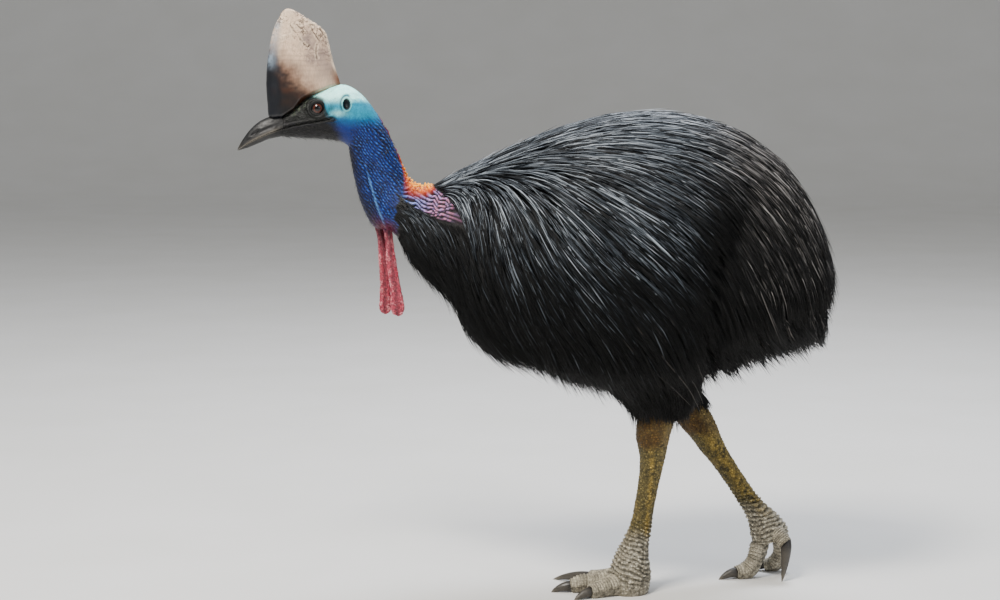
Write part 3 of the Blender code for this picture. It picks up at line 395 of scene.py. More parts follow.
def casqueMaterial():
    # Old keratin over bone: worn, chipped and chalky on top, brown and smoother down the front
    material, tree, shader = newMaterial("worn_keratin_casque", Roughness=0.45, Specular_IOR_Level=0.5)
    place = addNode(tree, "ShaderNodeTexCoord").outputs["Object"]
    tint = addNode(tree, "ShaderNodeAttribute", attribute_name="tint")
    worn = addNode(tree, "ShaderNodeAttribute", attribute_name="worn")
    # grain of the horn runs up the blade in streaks about 1 mm wide and 12 mm long
    stretched = addNode(tree, "ShaderNodeMapping", {"Scale": (1.0, 1.0, 0.09), "Rotation": (0.0, 0.16, 0.0)},
                        {"Vector": place})
    streaks = addNode(tree, "ShaderNodeTexNoise", {"Scale": 700.0, "Detail": 5.0, "Roughness": 0.6},
                      {"Vector": stretched.outputs[0]})
    stains = addNode(tree, "ShaderNodeTexNoise", {"Scale": 48.0, "Detail": 6.0, "Roughness": 0.62}, {"Vector": place})
    warp = addNode(tree, "ShaderNodeTexNoise", {"Scale": 70.0, "Detail": 4.0, "Roughness": 0.7}, {"Vector": place})
    bent = addNode(tree, "ShaderNodeVectorMath", {1: (0.03, 0.03, 0.03)},
                   {0: warp.outputs["Color"], 2: place}, operation="MULTIPLY_ADD")
    cracks = addNode(tree, "ShaderNodeTexVoronoi", {"Scale": 80.0, "Randomness": 1.0}, {"Vector": bent.outputs[0]},
                     feature="DISTANCE_TO_EDGE")
    crackLine = addNode(tree, "ShaderNodeMapRange", {"From Min": 0.0, "From Max": 0.11, "To Min": 1.0, "To Max": 0.0},
                        {"Value": cracks.outputs["Distance"]})
    patchy = addNode(tree, "ShaderNodeMapRange", {"From Min": 0.44, "From Max": 0.54},
                     {"Value": stains.outputs["Fac"]})
    crackLine = addNode(tree, "ShaderNodeMath", None, {0: crackLine.outputs[0], 1: patchy.outputs[0]},
                        operation="MULTIPLY")
    crackLine = addNode(tree, "ShaderNodeMath", None, {0: crackLine.outputs[0], 1: worn.outputs["Fac"]},
                        operation="MULTIPLY")
    darker = addNode(tree, "ShaderNodeMapRange", {"From Min": 0.3, "From Max": 0.7, "To Min": 0.8, "To Max": 1.12},
                     {"Value": streaks.outputs["Fac"]})
    patches = addNode(tree, "ShaderNodeMapRange", {"From Min": 0.3, "From Max": 0.7, "To Min": 0.82, "To Max": 1.12},
                      {"Value": stains.outputs["Fac"]})
    light = addNode(tree, "ShaderNodeMath", None, {0: darker.outputs[0], 1: patches.outputs[0]}, operation="MULTIPLY")
    colour = addNode(tree, "ShaderNodeVectorMath", None, {0: tint.outputs["Color"], 1: light.outputs[0]},
                     operation="MULTIPLY")
    scored = addNode(tree, "ShaderNodeMix", {7: linear("#4b382e")},
                     {0: crackLine.outputs[0], 6: colour.outputs[0]}, data_type="RGBA")
    tree.links.new(scored.outputs[2], shader.inputs["Base Color"])
    rough = addNode(tree, "ShaderNodeMapRange", {"From Min": 0.0, "From Max": 1.0, "To Min": 0.36, "To Max": 0.6},
                    {"Value": worn.outputs["Fac"]})
    tree.links.new(rough.outputs[0], shader.inputs["Roughness"])
    grooves = addNode(tree, "ShaderNodeBump", {"Strength": 0.35, "Distance": 0.0006},
                      {"Height": streaks.outputs["Fac"]})
    scratches = addNode(tree, "ShaderNodeBump", {"Strength": 0.7, "Distance": 0.001},
                        {"Height": crackLine.outputs[0], "Normal": grooves.outputs[0]}, invert=True)
    tree.links.new(scratches.outputs[0], shader.inputs["Normal"])
    return material


def hornMaterial(name, streakScale, roughness):
    # Horn of bill and claws: dark, hard and slightly waxy, with fine growth lines that show as dull streaks
    material, tree, shader = newMaterial(name, Roughness=roughness, Specular_IOR_Level=0.55)
    place = addNode(tree, "ShaderNodeTexCoord").outputs["Object"]
    tint = addNode(tree, "ShaderNodeAttribute", attribute_name="tint")
    dull = addNode(tree, "ShaderNodeAttribute", attribute_name="dull")
    lengthwise = addNode(tree, "ShaderNodeMapping", {"Scale": (0.12, 1.0, 1.0), "Rotation": (0.0, 0.55, 0.0)},
                         {"Vector": place})
    lines = addNode(tree, "ShaderNodeTexNoise", {"Scale": streakScale, "Detail": 5.0, "Roughness": 0.65},
                    {"Vector": lengthwise.outputs[0]})
    dust = addNode(tree, "ShaderNodeTexNoise", {"Scale": 160.0, "Detail": 5.0}, {"Vector": place})
    darker = addNode(tree, "ShaderNodeMapRange", {"From Min": 0.3, "From Max": 0.7, "To Min": 0.6, "To Max": 1.5},
                     {"Value": lines.outputs["Fac"]})
    colour = addNode(tree, "ShaderNodeVectorMath", None, {0: tint.outputs["Color"], 1: darker.outputs[0]},
                     operation="MULTIPLY")
    tree.links.new(colour.outputs[0], shader.inputs["Base Color"])
    rough = addNode(tree, "ShaderNodeMapRange", {"From Min": 0.35, "From Max": 0.65, "To Min": roughness - 0.1,
                                                 "To Max": roughness + 0.15}, {"Value": dust.outputs["Fac"]})
    rough = addNode(tree, "ShaderNodeMath", {1: 0.3}, {0: dull.outputs["Fac"], 2: rough.outputs[0]},
                    operation="MULTIPLY_ADD")
    tree.links.new(rough.outputs[0], shader.inputs["Roughness"])
    relief = addNode(tree, "ShaderNodeBump", {"Strength": 0.4, "Distance": 0.0005}, {"Height": lines.outputs["Fac"]})
    tree.links.new(relief.outputs[0], shader.inputs["Normal"])
    return material


def eyeMaterial():
    # Wet eyeball: a brown iris of fine spokes round a black pupil under a clear hard shine
    material, tree, shader = newMaterial("wet_eyeball", Roughness=0.12, Specular_IOR_Level=0.3, Coat_Weight=0.6,
                                         Coat_Roughness=0.02, Coat_IOR=1.376)
    reach = addNode(tree, "ShaderNodeAttribute", attribute_name="reach")
    spoke = addNode(tree, "ShaderNodeAttribute", attribute_name="spoke")
    threads = addNode(tree, "ShaderNodeTexNoise", {"Scale": 34.0, "Detail": 3.0}, {"Vector": spoke.outputs["Vector"]})
    iris = addNode(tree, "ShaderNodeValToRGB", None, {"Fac": reach.outputs["Fac"]},
                   ramp=((0.0, "#010101"), (0.46, "#010101"), (0.5, "#260d05"), (0.68, "#4d2010"), (0.84, "#2e1107"),
                         (0.93, "#050303"), (1.0, "#040303")))
    streak = addNode(tree, "ShaderNodeMapRange", {"From Min": 0.3, "From Max": 0.7, "To Min": 0.55, "To Max": 1.5},
                     {"Value": threads.outputs["Fac"]})
    colour = addNode(tree, "ShaderNodeVectorMath", None, {0: iris.outputs[0], 1: streak.outputs[0]},
                     operation="MULTIPLY")
    tree.links.new(colour.outputs[0], shader.inputs["Base Color"])
    return material


def wattleMaterial():
    # Fleshy wattle: moist pink skin of small grains, crimson near the root, with painted highlight on the grains and
    # painted shade in the folds and between the grains
    material, tree, shader = newMaterial("granular_wattle_skin", Roughness=0.5, Subsurface_Weight=0.15,
                                         Subsurface_Scale=0.005, Specular_IOR_Level=0.5)
    place = addNode(tree, "ShaderNodeTexCoord").outputs["Object"]
    tint = addNode(tree, "ShaderNodeAttribute", attribute_name="tint")
    crease = addNode(tree, "ShaderNodeAttribute", attribute_name="crease")
    grains = addNode(tree, "ShaderNodeTexVoronoi", {"Scale": 520.0, "Randomness": 0.8}, {"Vector": place})
    # painted highlight on each grain and painted shade between them
    grainHighlightAndShade = addNode(tree, "ShaderNodeMapRange", {"From Min": 0.05, "From Max": 0.6, "To Min": 1.3, "To Max": 0.5},
                        {"Value": grains.outputs["Distance"]})
    # painted shade in the folds
    fold = addNode(tree, "ShaderNodeMapRange", {"From Min": -1.0, "From Max": 1.0, "To Min": 0.6, "To Max": 1.25},
                   {"Value": crease.outputs["Fac"]})
    light = addNode(tree, "ShaderNodeMath", None, {0: grainHighlightAndShade.outputs[0], 1: fold.outputs[0]}, operation="MULTIPLY")
    colour = addNode(tree, "ShaderNodeVectorMath", None, {0: tint.outputs["Color"], 1: light.outputs[0]},
                     operation="MULTIPLY")
    tree.links.new(colour.outputs[0], shader.inputs["Base Color"])
    relief = addNode(tree, "ShaderNodeBump", {"Strength": 0.8, "Distance": 0.0009},
                     {"Height": grains.outputs["Distance"]}, invert=True)
    tree.links.new(relief.outputs[0], shader.inputs["Normal"])
    return material


def legMaterial(name, scaleTone):
    # Dry scaly leg: dusty olive and ochre plates with paler worn rims and dark skin between them
    material, tree, shader = newMaterial(name, Roughness=0.62, Specular_IOR_Level=0.28)
    place = addNode(tree, "ShaderNodeTexCoord").outputs["Object"]
    tint = addNode(tree, "ShaderNodeAttribute", attribute_name="tint")
    cells = addNode(tree, "ShaderNodeTexVoronoi", {"Scale": 230.0, "Randomness": 0.75}, {"Vector": place},
                    feature="DISTANCE_TO_EDGE")
    gaps = addNode(tree, "ShaderNodeMapRange", {"From Min": 0.0, "From Max": 0.16, "To Min": 0.45, "To Max": 1.0},
                   {"Value": cells.outputs["Distance"]})
    dust = addNode(tree, "ShaderNodeTexNoise", {"Scale": 120.0, "Detail": 6.0, "Roughness": 0.65}, {"Vector": place})
    dusty = addNode(tree, "ShaderNodeMapRange", {"From Min": 0.3, "From Max": 0.7, "To Min": 0.6, "To Max": 1.35},
                    {"Value": dust.outputs["Fac"]})
    light = addNode(tree, "ShaderNodeMath", None, {0: gaps.outputs[0], 1: dusty.outputs[0]}, operation="MULTIPLY")
    light = addNode(tree, "ShaderNodeMath", {1: scaleTone}, {0: light.outputs[0]}, operation="MULTIPLY")
    colour = addNode(tree, "ShaderNodeVectorMath", None, {0: tint.outputs["Color"], 1: light.outputs[0]},
                     operation="MULTIPLY")
    tree.links.new(colour.outputs[0], shader.inputs["Base Color"])
    relief = addNode(tree, "ShaderNodeBump", {"Strength": 0.7, "Distance": 0.0009}, {"Height": gaps.outputs[0]})
    chalk = addNode(tree, "ShaderNodeBump", {"Strength": 0.3, "Distance": 0.0005},
                    {"Height": dust.outputs["Fac"], "Normal": relief.outputs[0]})
    tree.links.new(chalk.outputs[0], shader.inputs["Normal"])
    return material


def quillMaterial(name, dark, pale, roughness):
    # Bare shafts and bristles: stiff round horn, black with a narrow line of shine
    material, tree, shader = newMaterial(name, Roughness=roughness, Specular_IOR_Level=0.6)
    place = addNode(tree, "ShaderNodeTexCoord").outputs["Object"]
    lengthwise = addNode(tree, "ShaderNodeMapping", {"Scale": (1.0, 1.0, 0.1)}, {"Vector": place})
    lines = addNode(tree, "ShaderNodeTexNoise", {"Scale": 400.0, "Detail": 3.0}, {"Vector": lengthwise.outputs[0]})
    colour = addNode(tree, "ShaderNodeValToRGB", None, {"Fac": lines.outputs["Fac"]},
                     ramp=((0.35, dark), (0.7, pale)))
    tree.links.new(colour.outputs[0], shader.inputs["Base Color"])
    return material


def floorMaterial():
    # Matt studio paper, pale and even
    material, tree, shader = newMaterial("matt_studio_paper", Roughness=0.85, Specular_IOR_Level=0.2)
    place = addNode(tree, "ShaderNodeTexCoord").outputs["Object"]
    fibre = addNode(tree, "ShaderNodeTexNoise", {"Scale": 3.0, "Detail": 2.0}, {"Vector": place})
    colour = addNode(tree, "ShaderNodeValToRGB", None, {"Fac": fibre.outputs["Fac"]},
                     ramp=((0.3, "#d9d7d2"), (0.7, "#dddbd7")))
    tree.links.new(colour.outputs[0], shader.inputs["Base Color"])
    return material


# Skin of head, neck and body

skin = {
    "around": 200, "headStep": 1.35, "neckStep": 1.6, "bodyStep": 11.0,
    "lores": "#0b0e0c", "loresGreen": "#46523f", "crown": "#b6fff6", "aqua": "#009ec0", "cheek": "#0868a0",
    "billRoot": "#060607",
    "blue": "#072b7e", "lightBlue": "#3b78cc", "navy": "#03082a", "throatLine": "#63a4ea", "jaw": "#0d0b18",
    "earRim": "#8fe6dc", "earHoleShade": "#03181e", "earShade": "#045a68", "red": "#a02818", "orange": "#f06a0c",
    "yellowOrange": "#ffac18", "lavender": "#b3a8f0", "pink": "#e290b8", "purple": "#1d0616",
    "crimson": "#6e1030", "underCoatShade": "#050505",
    "mouth": ((-484, 884), (-462, 890), (-436, 895), (-410, 899), (-388, 905)),
    "loresEdge": ((-470, 945), (-446, 941), (-427, 941), (-412, 934), (-404, 919), (-399, 908), (-386, 903)),
    "loresAhead": [(-500, 1000), (-470, 945), (-446, 941), (-427, 941), (-412, 934), (-404, 919), (-399, 908),
                   (-386, 903), (-386, 890), (-372, 880), (-362, 850), (-360, 800), (-500, 800)],
    "throatFold": ((-326, 816), (-315, 778), (-304, 740), (-291, 708), (-282, 689)),
    "napeRow": (6.4, 12.2),
}
eye = {"x": -417, "z": 923, "radius": 13.8, "depth": 7.3, "wide": 12.7, "high": 11.3, "iris": 10.0}
ear = {"x": -362, "z": 930.5, "wide": 8.2, "high": 11.6, "deep": 7.0}
# Bare tongue of skin at the side of the neck's base, as the side view shows it, in mm
skinTongue = [(-212, 790), (-204, 780), (-189, 768), (-169, 757), (-150, 739), (-138, 722), (-133, 708), (-152, 708),
              (-176, 717), (-205, 726), (-227, 735), (-247, 748), (-262, 761), (-300, 790)]


def lengthSteps(first, last, stepMm):
    # Section numbers from first to last, about stepMm apart along the body
    t = np.linspace(first, last, 400)
    points = bodyPoint(t, np.full_like(t, math.pi / 2))
    run = np.concatenate([[0], np.cumsum(np.linalg.norm(np.diff(points, axis=0), axis=1))])
    count = max(2, int(run[-1] / (stepMm * mm)))
    return np.interp(np.linspace(0, run[-1], count, endpoint=False), run, t)


def skinRings():
    t = np.concatenate([
        lengthSteps(0.0, neckStart, skin["headStep"]),
        lengthSteps(neckStart, 13.4, skin["neckStep"]),
        lengthSteps(13.4, coreRounding["end"] - 0.02, skin["bodyStep"]),
        [coreRounding["end"] - 0.02]])
    turn = 2 * math.pi * np.arange(skin["around"]) / skin["around"]
    t, turn = np.meshgrid(t, turn, indexing="ij")
    return t, turn, bodyPoint(t, turn, 1.0)


def blend(colours, name, weight):
    # Lays a named colour over what is there
    return colours + (np.array(linear(skin[name])[:3]) - colours) * np.clip(weight, 0, 1)[..., None]


def feathered(t, side, x, z):
    # 1 where feathers grow: behind the throat, but not on the bare tongue or the ridge of the nape
    away, _ = lineDistance(x, z, skinTongue + skinTongue[:1])
    away = np.where(insideOutline(x, z, skinTongue), -away, away)
    outside = np.where(side < 2.4, rise(away, -1.5, 1.5), 1.0)
    border = -265 + 3.5 * np.sin(z / 9) + 2.5 * np.sin(z / 3.7)
    throat = np.where(side > 1.0, rise(x - border, -2, 2), 0.0)
    return outside * np.maximum(throat * rise(t, 10.2, 10.5), rise(t, 12.0, 12.15))


def dressHead(t, turn, rings):
    # Lifts of the bare skin in mm, a crease value from -1 to 1, and the colours, all read in the side view
    x, z = rings[..., 0] / mm, rings[..., 2] / mm
    side = np.minimum(turn, 2 * math.pi - turn)
    lift = np.zeros_like(x)
    crease = np.zeros_like(x)
    points = rings
    broad = grain(points, 0.030)
    fine = grain(points, 0.007, 7.3)
    tiny = grain(points, 0.0032, 3.1)

    # wrinkles of the neck run forward and down in close wavy rows, broken into short scales
    onNeck = rise(t, 4.4, 6.6) * (1 - rise(t, 12.8, 13.6)) * (1 - rise(z, 893, 912))
    flow = (z * 0.66 + x * 0.75) + 4.5 * broad + 1.6 * fine
    rows = np.sin(flow * 2 * math.pi / 5.2)
    cross = np.sin((x * 0.66 - z * 0.75 + 5 * fine + 6 * broad + 2.6 * np.floor(flow / 5.2)) * 2 * math.pi / 9.5)
    wrinkle = rows * (0.66 + 0.34 * cross)
    lift += 0.5 * onNeck * wrinkle + 0.5 * onNeck * tiny
    crease += onNeck * (0.9 * wrinkle + 0.25 * tiny)

    # ridges of the bare tongue run along it
    alongTongue = x * math.cos(math.radians(-24)) + z * math.sin(math.radians(-24))
    acrossTongue = -x * math.sin(math.radians(-24)) + z * math.cos(math.radians(-24))
    ridgeZone = rise(t, 9.9, 11.0) * rise(side, 0.5, 0.8) * (1 - rise(side, 1.75, 2.1)) * rise(x, -259, -243)
    ridgeWave = np.sin((acrossTongue + 2.2 * np.sin(alongTongue / 6.5 + 5 * broad + acrossTongue / 9) + 2.5 * broad)
                       * 2 * math.pi / 6.7)
    # each ridge is broken into short scales
    ridgeWave = ridgeWave - 0.55 * rise(np.sin((alongTongue + 4.1 * np.floor(acrossTongue / 6.7 + 0.4)) / 2.1), 0.55, 1.0)
    lift += ridgeZone * (2.0 * ridgeWave - 0.6 * onNeck * wrinkle)
    crease = crease * (1 - 0.8 * ridgeZone) + 0.95 * ridgeZone * ridgeWave

    # crinkled ridge down the nape
    first, last = skin["napeRow"]
    width = 0.08 + 0.62 * rise(t, 9.0, 11.2)
    nape = bump(side, 0.0, width) * rise(t, 8.2, 9.6) * (1 - rise(t, 12.0, 12.6))
    knobs = np.abs(grain(points, 0.0058, 1.7)) * 2.6 - 0.4
    lift += nape * (2.0 + 3.6 * knobs)
    crease = crease * (1 - nape) + nape * np.clip(knobs * 1.6 - 0.3, -1, 1)
    line = bump(side, 0.0, 0.055) * rise(t, first, 7.4) * (1 - rise(t, 9.2, 10.0))
    lift += 1.6 * line * (1 + 1.6 * fine)

    # folds at the throat
    away, share = lineDistance(x, z, skin["throatFold"])
    fold = bump(away, 0, 3.2) * rise(t, 7.6, 8.6) * (1 - rise(t, 12.0, 12.8))
    lift += 2.2 * fold - 1.2 * bump(away, 6.5, 3.0) * rise(t, 7.6, 8.6) * (1 - rise(t, 12.0, 12.8))

    # mouth line with its lips, and the wrinkles behind the gape
    gape, gapeShare = lineDistance(x, z, skin["mouth"])
    lips = (1 - rise(x, -392, -384))
    lift += lips * (1.6 * bump(gape, 4.4, 2.4) - 2.6 * bump(gape, 0, 1.5))
    crease -= 1.1 * lips * bump(gape, 0, 2.0)
    behind = bump(x, -378, 9) * bump(z, 897, 10)
    lift += 0.7 * behind * np.sin((x + 0.5 * z) * 2 * math.pi / 4.2)

    # socket, brow and the hollow before the eye
    eyeAway = np.hypot((x - eye["x"]) / eye["wide"], (z - eye["z"]) / eye["high"])
    lift -= 13.0 * (1 - rise(eyeAway, 0.82, 1.08))
    lift += 1.6 * bump(eyeAway, 1.42, 0.22)
    ringLines = np.sin(eyeAway * 2 * math.pi / 0.3 + 1.5 * fine)
    lift += 0.4 * bump(eyeAway, 1.75, 0.4) * ringLines
    crease += 0.5 * bump(eyeAway, 1.75, 0.4) * ringLines
    lift += 2.2 * bump(z - 0.25 * (x - eye["x"]), 939, 4.2) * bump(x, -424, 18)
    lift -= 1.5 * bump(x, -446, 12) * bump(z, 915, 9)

    # cup of the ear
    earAway = np.hypot((x - ear["x"]) / ear["wide"], (z - ear["z"]) / ear["high"])
    lift -= ear["deep"] * (1 - rise(earAway, 0.25, 0.98))
    lift += 1.2 * bump(earAway, 1.12, 0.14)
    crease -= 0.6 * (1 - rise(earAway, 0.5, 1.0))

    # head skin: shallow pebbles
    onHead = 1 - rise(t, 5.0, 7.5)
    lift += 0.3 * onHead * tiny + 0.25 * onHead * fine
    crease += 0.35 * onHead * tiny

    # colours: deep blue neck, turquoise behind the eye, pale mint crown
    colours = np.zeros(x.shape + (3,)) + np.array(linear(skin["blue"])[:3])
    colours = blend(colours, "navy", 0.6 * rise(-broad, -0.2, 0.5) * onNeck)
    colours = blend(colours, "navy", 0.55 * rise(-fine, 0.0, 0.6) * onNeck)
    # painted highlight in light blue on the wrinkles' crests, and painted shade in navy in their troughs and on the
    # neck's underside
    colours = blend(colours, "lightBlue", 0.85 * rise(crease, 0.4, 1.0) * onNeck * (1 - 0.6 * rise(side, 1.9, 2.6)))
    colours = blend(colours, "navy", 0.88 * rise(-crease, -0.1, 0.7) * onNeck)
    colours = blend(colours, "navy", 0.8 * rise(side, 1.9, 2.8) * onNeck)
    below = 906 + 3.5 * broad + 3 * fine
    colours = blend(colours, "cheek", rise(z, below - 24, below - 2) * (1 - rise(t, 6.9, 8.6)) * 0.9)
    colours = blend(colours, "aqua", rise(z, below - 8, below + 6) * (1 - rise(t, 6.9, 8.8)))
    mintLine = np.interp(x, (-440, -404, -378, -367, -345, -324, -300), (946, 937, 937, 930, 940, 938, 930))
    mintLine = mintLine + 3 * broad + 2 * fine
    mint = rise(z, mintLine - 9, mintLine + 6)
    colours = blend(colours, "crown", mint)
    # the mint crown is lightened further through the skin's painted highlight on crests
    crease += 0.9 * mint * onHead
    colours = blend(colours, "crown", 0.6 * bump(x, -378, 15) * bump(z, 914, 6))
    colours = blend(colours, "aqua", 0.5 * bump(x, -340, 14) * bump(z, 940, 7) * rise(fine, -0.2, 0.4))
    # dark teal wedge behind the eye
    colours = blend(colours, "earShade", 0.75 * bump(x, -393, 9) * bump(z - 0.5 * (x + 393), 922, 8))
    lores, _ = lineDistance(x, z, skin["loresEdge"])
    ahead = insideOutline(x, z, skin["loresAhead"])
    dark = np.where(ahead, rise(lores, -6, 4), 1 - rise(lores, 0, 7))
    jawEnd = 1 - rise(x + 0.2 * (z - 880) + 6 * broad + 5 * fine, -404, -368)
    dark = np.where(z < 897, np.where(x < -420, 1.0, jawEnd), dark)
    colours = blend(colours, "lores", dark)
    crease += dark * (0.55 * tiny + 0.5 * fine)
    colours = blend(colours, "loresGreen", 0.95 * dark * bump(z - 0.5 * (x + 440), 930, 11) * rise(fine + 0.6 * tiny, -0.2, 0.5))
    jaw = (1 - rise(x + 0.55 * (z - 880), -394, -366)) * (1 - rise(z, 886, 904)) * (1 - rise(t, 7.0, 9.0))
    colours = blend(colours, "jaw", jaw)
    colours = blend(colours, "billRoot", 0.9 * (1 - rise(x + 3 * fine, -480, -452)))
    colours = blend(colours, "billRoot", 0.7 * dark * (1 - rise(z - 0.1 * (x + 440), 886, 894)))
    colours = blend(colours, "lores", 0.9 * (1 - rise(eyeAway, 1.5, 2.3)) * (1 - rise(x, -408, -398)))
    fromFront = (z - ear["z"]) * 0.6 - (x - ear["x"])
    # painted shadow: dark teal crescent over the ear's upper front
    colours = blend(colours, "earShade", bump(earAway, 1.4, 0.3) * rise(fromFront, -3, 6))
    colours = blend(colours, "earRim", 0.9 * bump(earAway, 1.1, 0.08) * (0.45 + 0.55 * rise(-fromFront, -8, 4)))
    # painted shade in the ear opening
    colours = blend(colours, "earHoleShade", 1 - rise(earAway, 0.86, 1.04))
    colours = blend(colours, "throatLine", (0.35 + 0.3 * rise(fine, -0.3, 0.3)) * rise(fold, 0.45, 1.0)
                    * rise(share, 0.0, 0.25) * (1 - rise(share, 0.85, 1.0)))
    wattleRoot = rise(side, 1.9, 2.6) * bump(x, -288, 20) * (1 - rise(z + 8 * fine, 702, 738))
    colours = blend(colours, "crimson", 0.9 * wattleRoot)
    # the tongue: blue at first, then lavender and pink crests over purple; the pale crests are painted highlight and
    # the dark troughs painted shade
    toPink = rise(alongTongue, -512, -468)
    crest = rise(ridgeWave, -0.15, 0.7)
    colours = blend(colours, "navy", ridgeZone * (1 - crest) * 0.9)
    colours = blend(colours, "lightBlue", ridgeZone * crest * 0.85)
    colours = blend(colours, "lavender", ridgeZone * crest * rise(alongTongue, -540, -505) * 0.6)
    colours = blend(colours, "pink", ridgeZone * crest * toPink * (0.75 + 0.25 * np.tanh(8 * fine)))
    colours = blend(colours, "purple", ridgeZone * (1 - crest) * toPink)
    colours = blend(colours, "purple", ridgeZone * rise(alongTongue, -472, -424) * 0.8)
    colours = blend(colours, "red", 0.9 * line * rise(fine, -0.5, 0.1))
    edge = bump(side, 0.0, width * 1.3) * rise(t, 8.4, 9.8) * (1 - rise(t, 12.1, 12.7))
    colours = blend(colours, "red", rise(edge, 0.2, 0.5))
    colours = blend(colours, "orange", rise(nape, 0.25, 0.6))
    colours = blend(colours, "yellowOrange", rise(nape, 0.4, 0.85) * rise(knobs, -0.05, 0.45))
    colours = blend(colours, "red", 0.9 * rise(nape, 0.25, 0.6) * rise(-knobs, 0.08, 0.32))
    bare = np.where(t < 11.2, 1.0, 0.0)
    covered = feathered(t, side, x, z)
    # near black under the feathers: painted shade
    colours = blend(colours, "underCoatShade", covered)
    lift = lift * (1 - 0.8 * covered)
    bristles = onHead * dark * 0.9 + 0.35 * onNeck * (1 - nape) * bare * (1 - ridgeZone)
    bristles *= rise(eyeAway, 1.5, 1.8)
    return lift, np.clip(crease, -1, 1), colours, bristles


def lidArrays(sign):
    # Two lids as one wrinkled ring that lies on the eyeball
    centre = eyeCentre(sign)
    a, b = np.meshgrid(2 * math.pi * np.arange(96) / 96, 2 * math.pi * np.arange(12) / 12, indexing="ij")
    wide, high = eye["wide"] * 0.98, eye["high"] * (0.98 + 0.04 * np.sin(a))
    px, pz = wide * np.cos(a), high * np.sin(a)
    reach = np.hypot(px, pz)
    out = np.sqrt(np.maximum(eye["radius"] ** 2 - reach ** 2, 1.0))
    thick = 2.5 + 0.5 * np.sin(a) + 0.18 * np.sin(21 * a) * np.cos(b)
    radial = np.stack([np.cos(a), 0 * a, np.sin(a)], -1)
    forward = np.zeros_like(radial)
    forward[..., 1] = sign
    middle = np.stack([px, sign * (out + 0.2), pz], -1)
    ring = middle + radial * (thick * np.cos(b) * 1.15 + 1.2)[..., None] + forward * (thick * 0.8 * np.sin(b))[..., None]
    points = ring * mm + centre
    k, j = np.meshgrid(np.arange(96), np.arange(12), indexing="ij")
    def at(k, j):
        return (k % 96 * 12 + j % 12).ravel()
    quads = np.stack([at(k, j), at(k + 1, j), at(k + 1, j + 1), at(k, j + 1)], -1)
    return points.reshape(-1, 3), quads, np.zeros((0, 3), int)


def eyeCentre(sign):
    half = flankPoint(eye["x"] * mm, eye["z"] * mm, last=neckStart)
    return np.array([eye["x"] * mm, sign * (half - eye["depth"] * mm), eye["z"] * mm])


def makeSkin(material):
    t, turn, rings = skinRings()
    lift, crease, colours, bristles = dressHead(t, turn, rings)
    calm = 1 - rise(t, 13.2, 14.0)
    rings = rings + ringNormals(rings) * (lift * calm * mm)[..., None]
    body = loftArrays(rings)
    lids = [lidArrays(sign) for sign in sides.values()]
    verts, quads, tris = joinArrays([body, *lids])
    extra = len(verts) - rings.shape[0] * rings.shape[1]
    verts = turnHead(verts)
    mesh = outward(meshFrom("skin", verts, [quads, tris]))
    lidCount = sum(len(part[0]) for part in lids)
    flatColours = np.concatenate([colours.reshape(-1, 3), np.zeros((extra, 3)) + linear(skin["lores"])[:3]])
    flatColours[-lidCount:] = np.array(linear("#0e1211")[:3])
    setColours(mesh, "tint", flatColours)
    setNumbers(mesh, "crease", np.concatenate([crease.ravel(), np.zeros(extra)]))
    setNumbers(mesh, "bristles", np.concatenate([bristles.ravel(), np.zeros(extra)]))
    return piece("skin", mesh, [material], ("head", "neck", "torso", "tail"))


def makeEyes(material):
    # Eyeballs with a raised cornea; the iris is drawn by how far a point is from the pupil's middle
    for side, sign in sides.items():
        rows, around = 40, 48
        polar = np.linspace(0.0, math.pi, rows)[1:-1]
        p, a = np.meshgrid(polar, 2 * math.pi * np.arange(around) / around, indexing="ij")
        radius = eye["radius"] * (1 + 0.055 * bump(p, 0, 0.45))
        local = np.stack([radius * np.sin(p) * np.cos(a), sign * radius * np.cos(p), radius * np.sin(p) * np.sin(a)], -1)
        verts, quads, tris = loftArrays(local * mm + eyeCentre(sign))
        mesh = outward(meshFrom(f"eye_{side}", turnHead(verts), [quads, tris]))
        reach = np.append((eye["radius"] * np.sin(p) / eye["iris"]).ravel(), [0.0, 1.0])
        reach[:-2] = np.where(p.ravel() > math.pi / 2, 1.0, np.minimum(reach[:-2], 1.0))
        setNumbers(mesh, "reach", reach)
        spoke = np.zeros((len(verts), 3))
        spoke[:-2, 0] = np.cos(a).ravel()
        spoke[:-2, 1] = np.sin(a).ravel()
        setColours(mesh, "spoke", spoke)
        piece(f"eyeball_{side}", mesh, [material], (f"eye_{side}",))


# Casque

casque = {
    "sections": (
        (880, -502, -376, 26), (892, -505, -372, 27), (935, -509, -369, 26), (975, -510, -374, 23.5),
        (1012, -508, -385, 20), (1042, -503, -392, 16.5), (1066, -497, -400, 13), (1082, -491, -418, 10),
        (1095, -484, -438, 7.5), (1105, -477, -456, 4.5), (1109, -471, -467, 1.2)),
    "rings": 206, "around": 156,
    # x, z where the blade comes out of the head, in mm
    "baseLine": ((-530, 908), (-484, 909), (-460, 925), (-446, 944), (-426, 954), (-392, 967), (-360, 970)),
    "chalk": "#d8b99c", "taupe": "#9a826f", "mauveShade": "#6b5c60", "brown": "#2b180e", "black": "#060404",
    "blueBlack": "#0a0d15", "rust": "#65351a", "paleEdge": "#efd6b8", "paleBlueHighlight": "#8b9dae",
    # scratches and chips seen from the side: x, z in mm
    "scratches": (
        ((-466, 1080), (-458, 1068), (-446, 1051), (-434, 1037), (-428, 1042)), ((-462, 1059), (-457, 1052)),
        ((-461, 1074), (-457, 1068)), ((-428, 1080), (-422, 1065), (-414, 1054), (-409, 1047)),
        ((-416, 1042), (-418, 1027), (-415, 1013)), ((-439, 1095), (-427, 1087), (-414, 1082)),
        ((-452, 1080), (-443, 1071), (-437, 1061)), ((-410, 1071), (-401, 1061), (-398, 1054))),
}


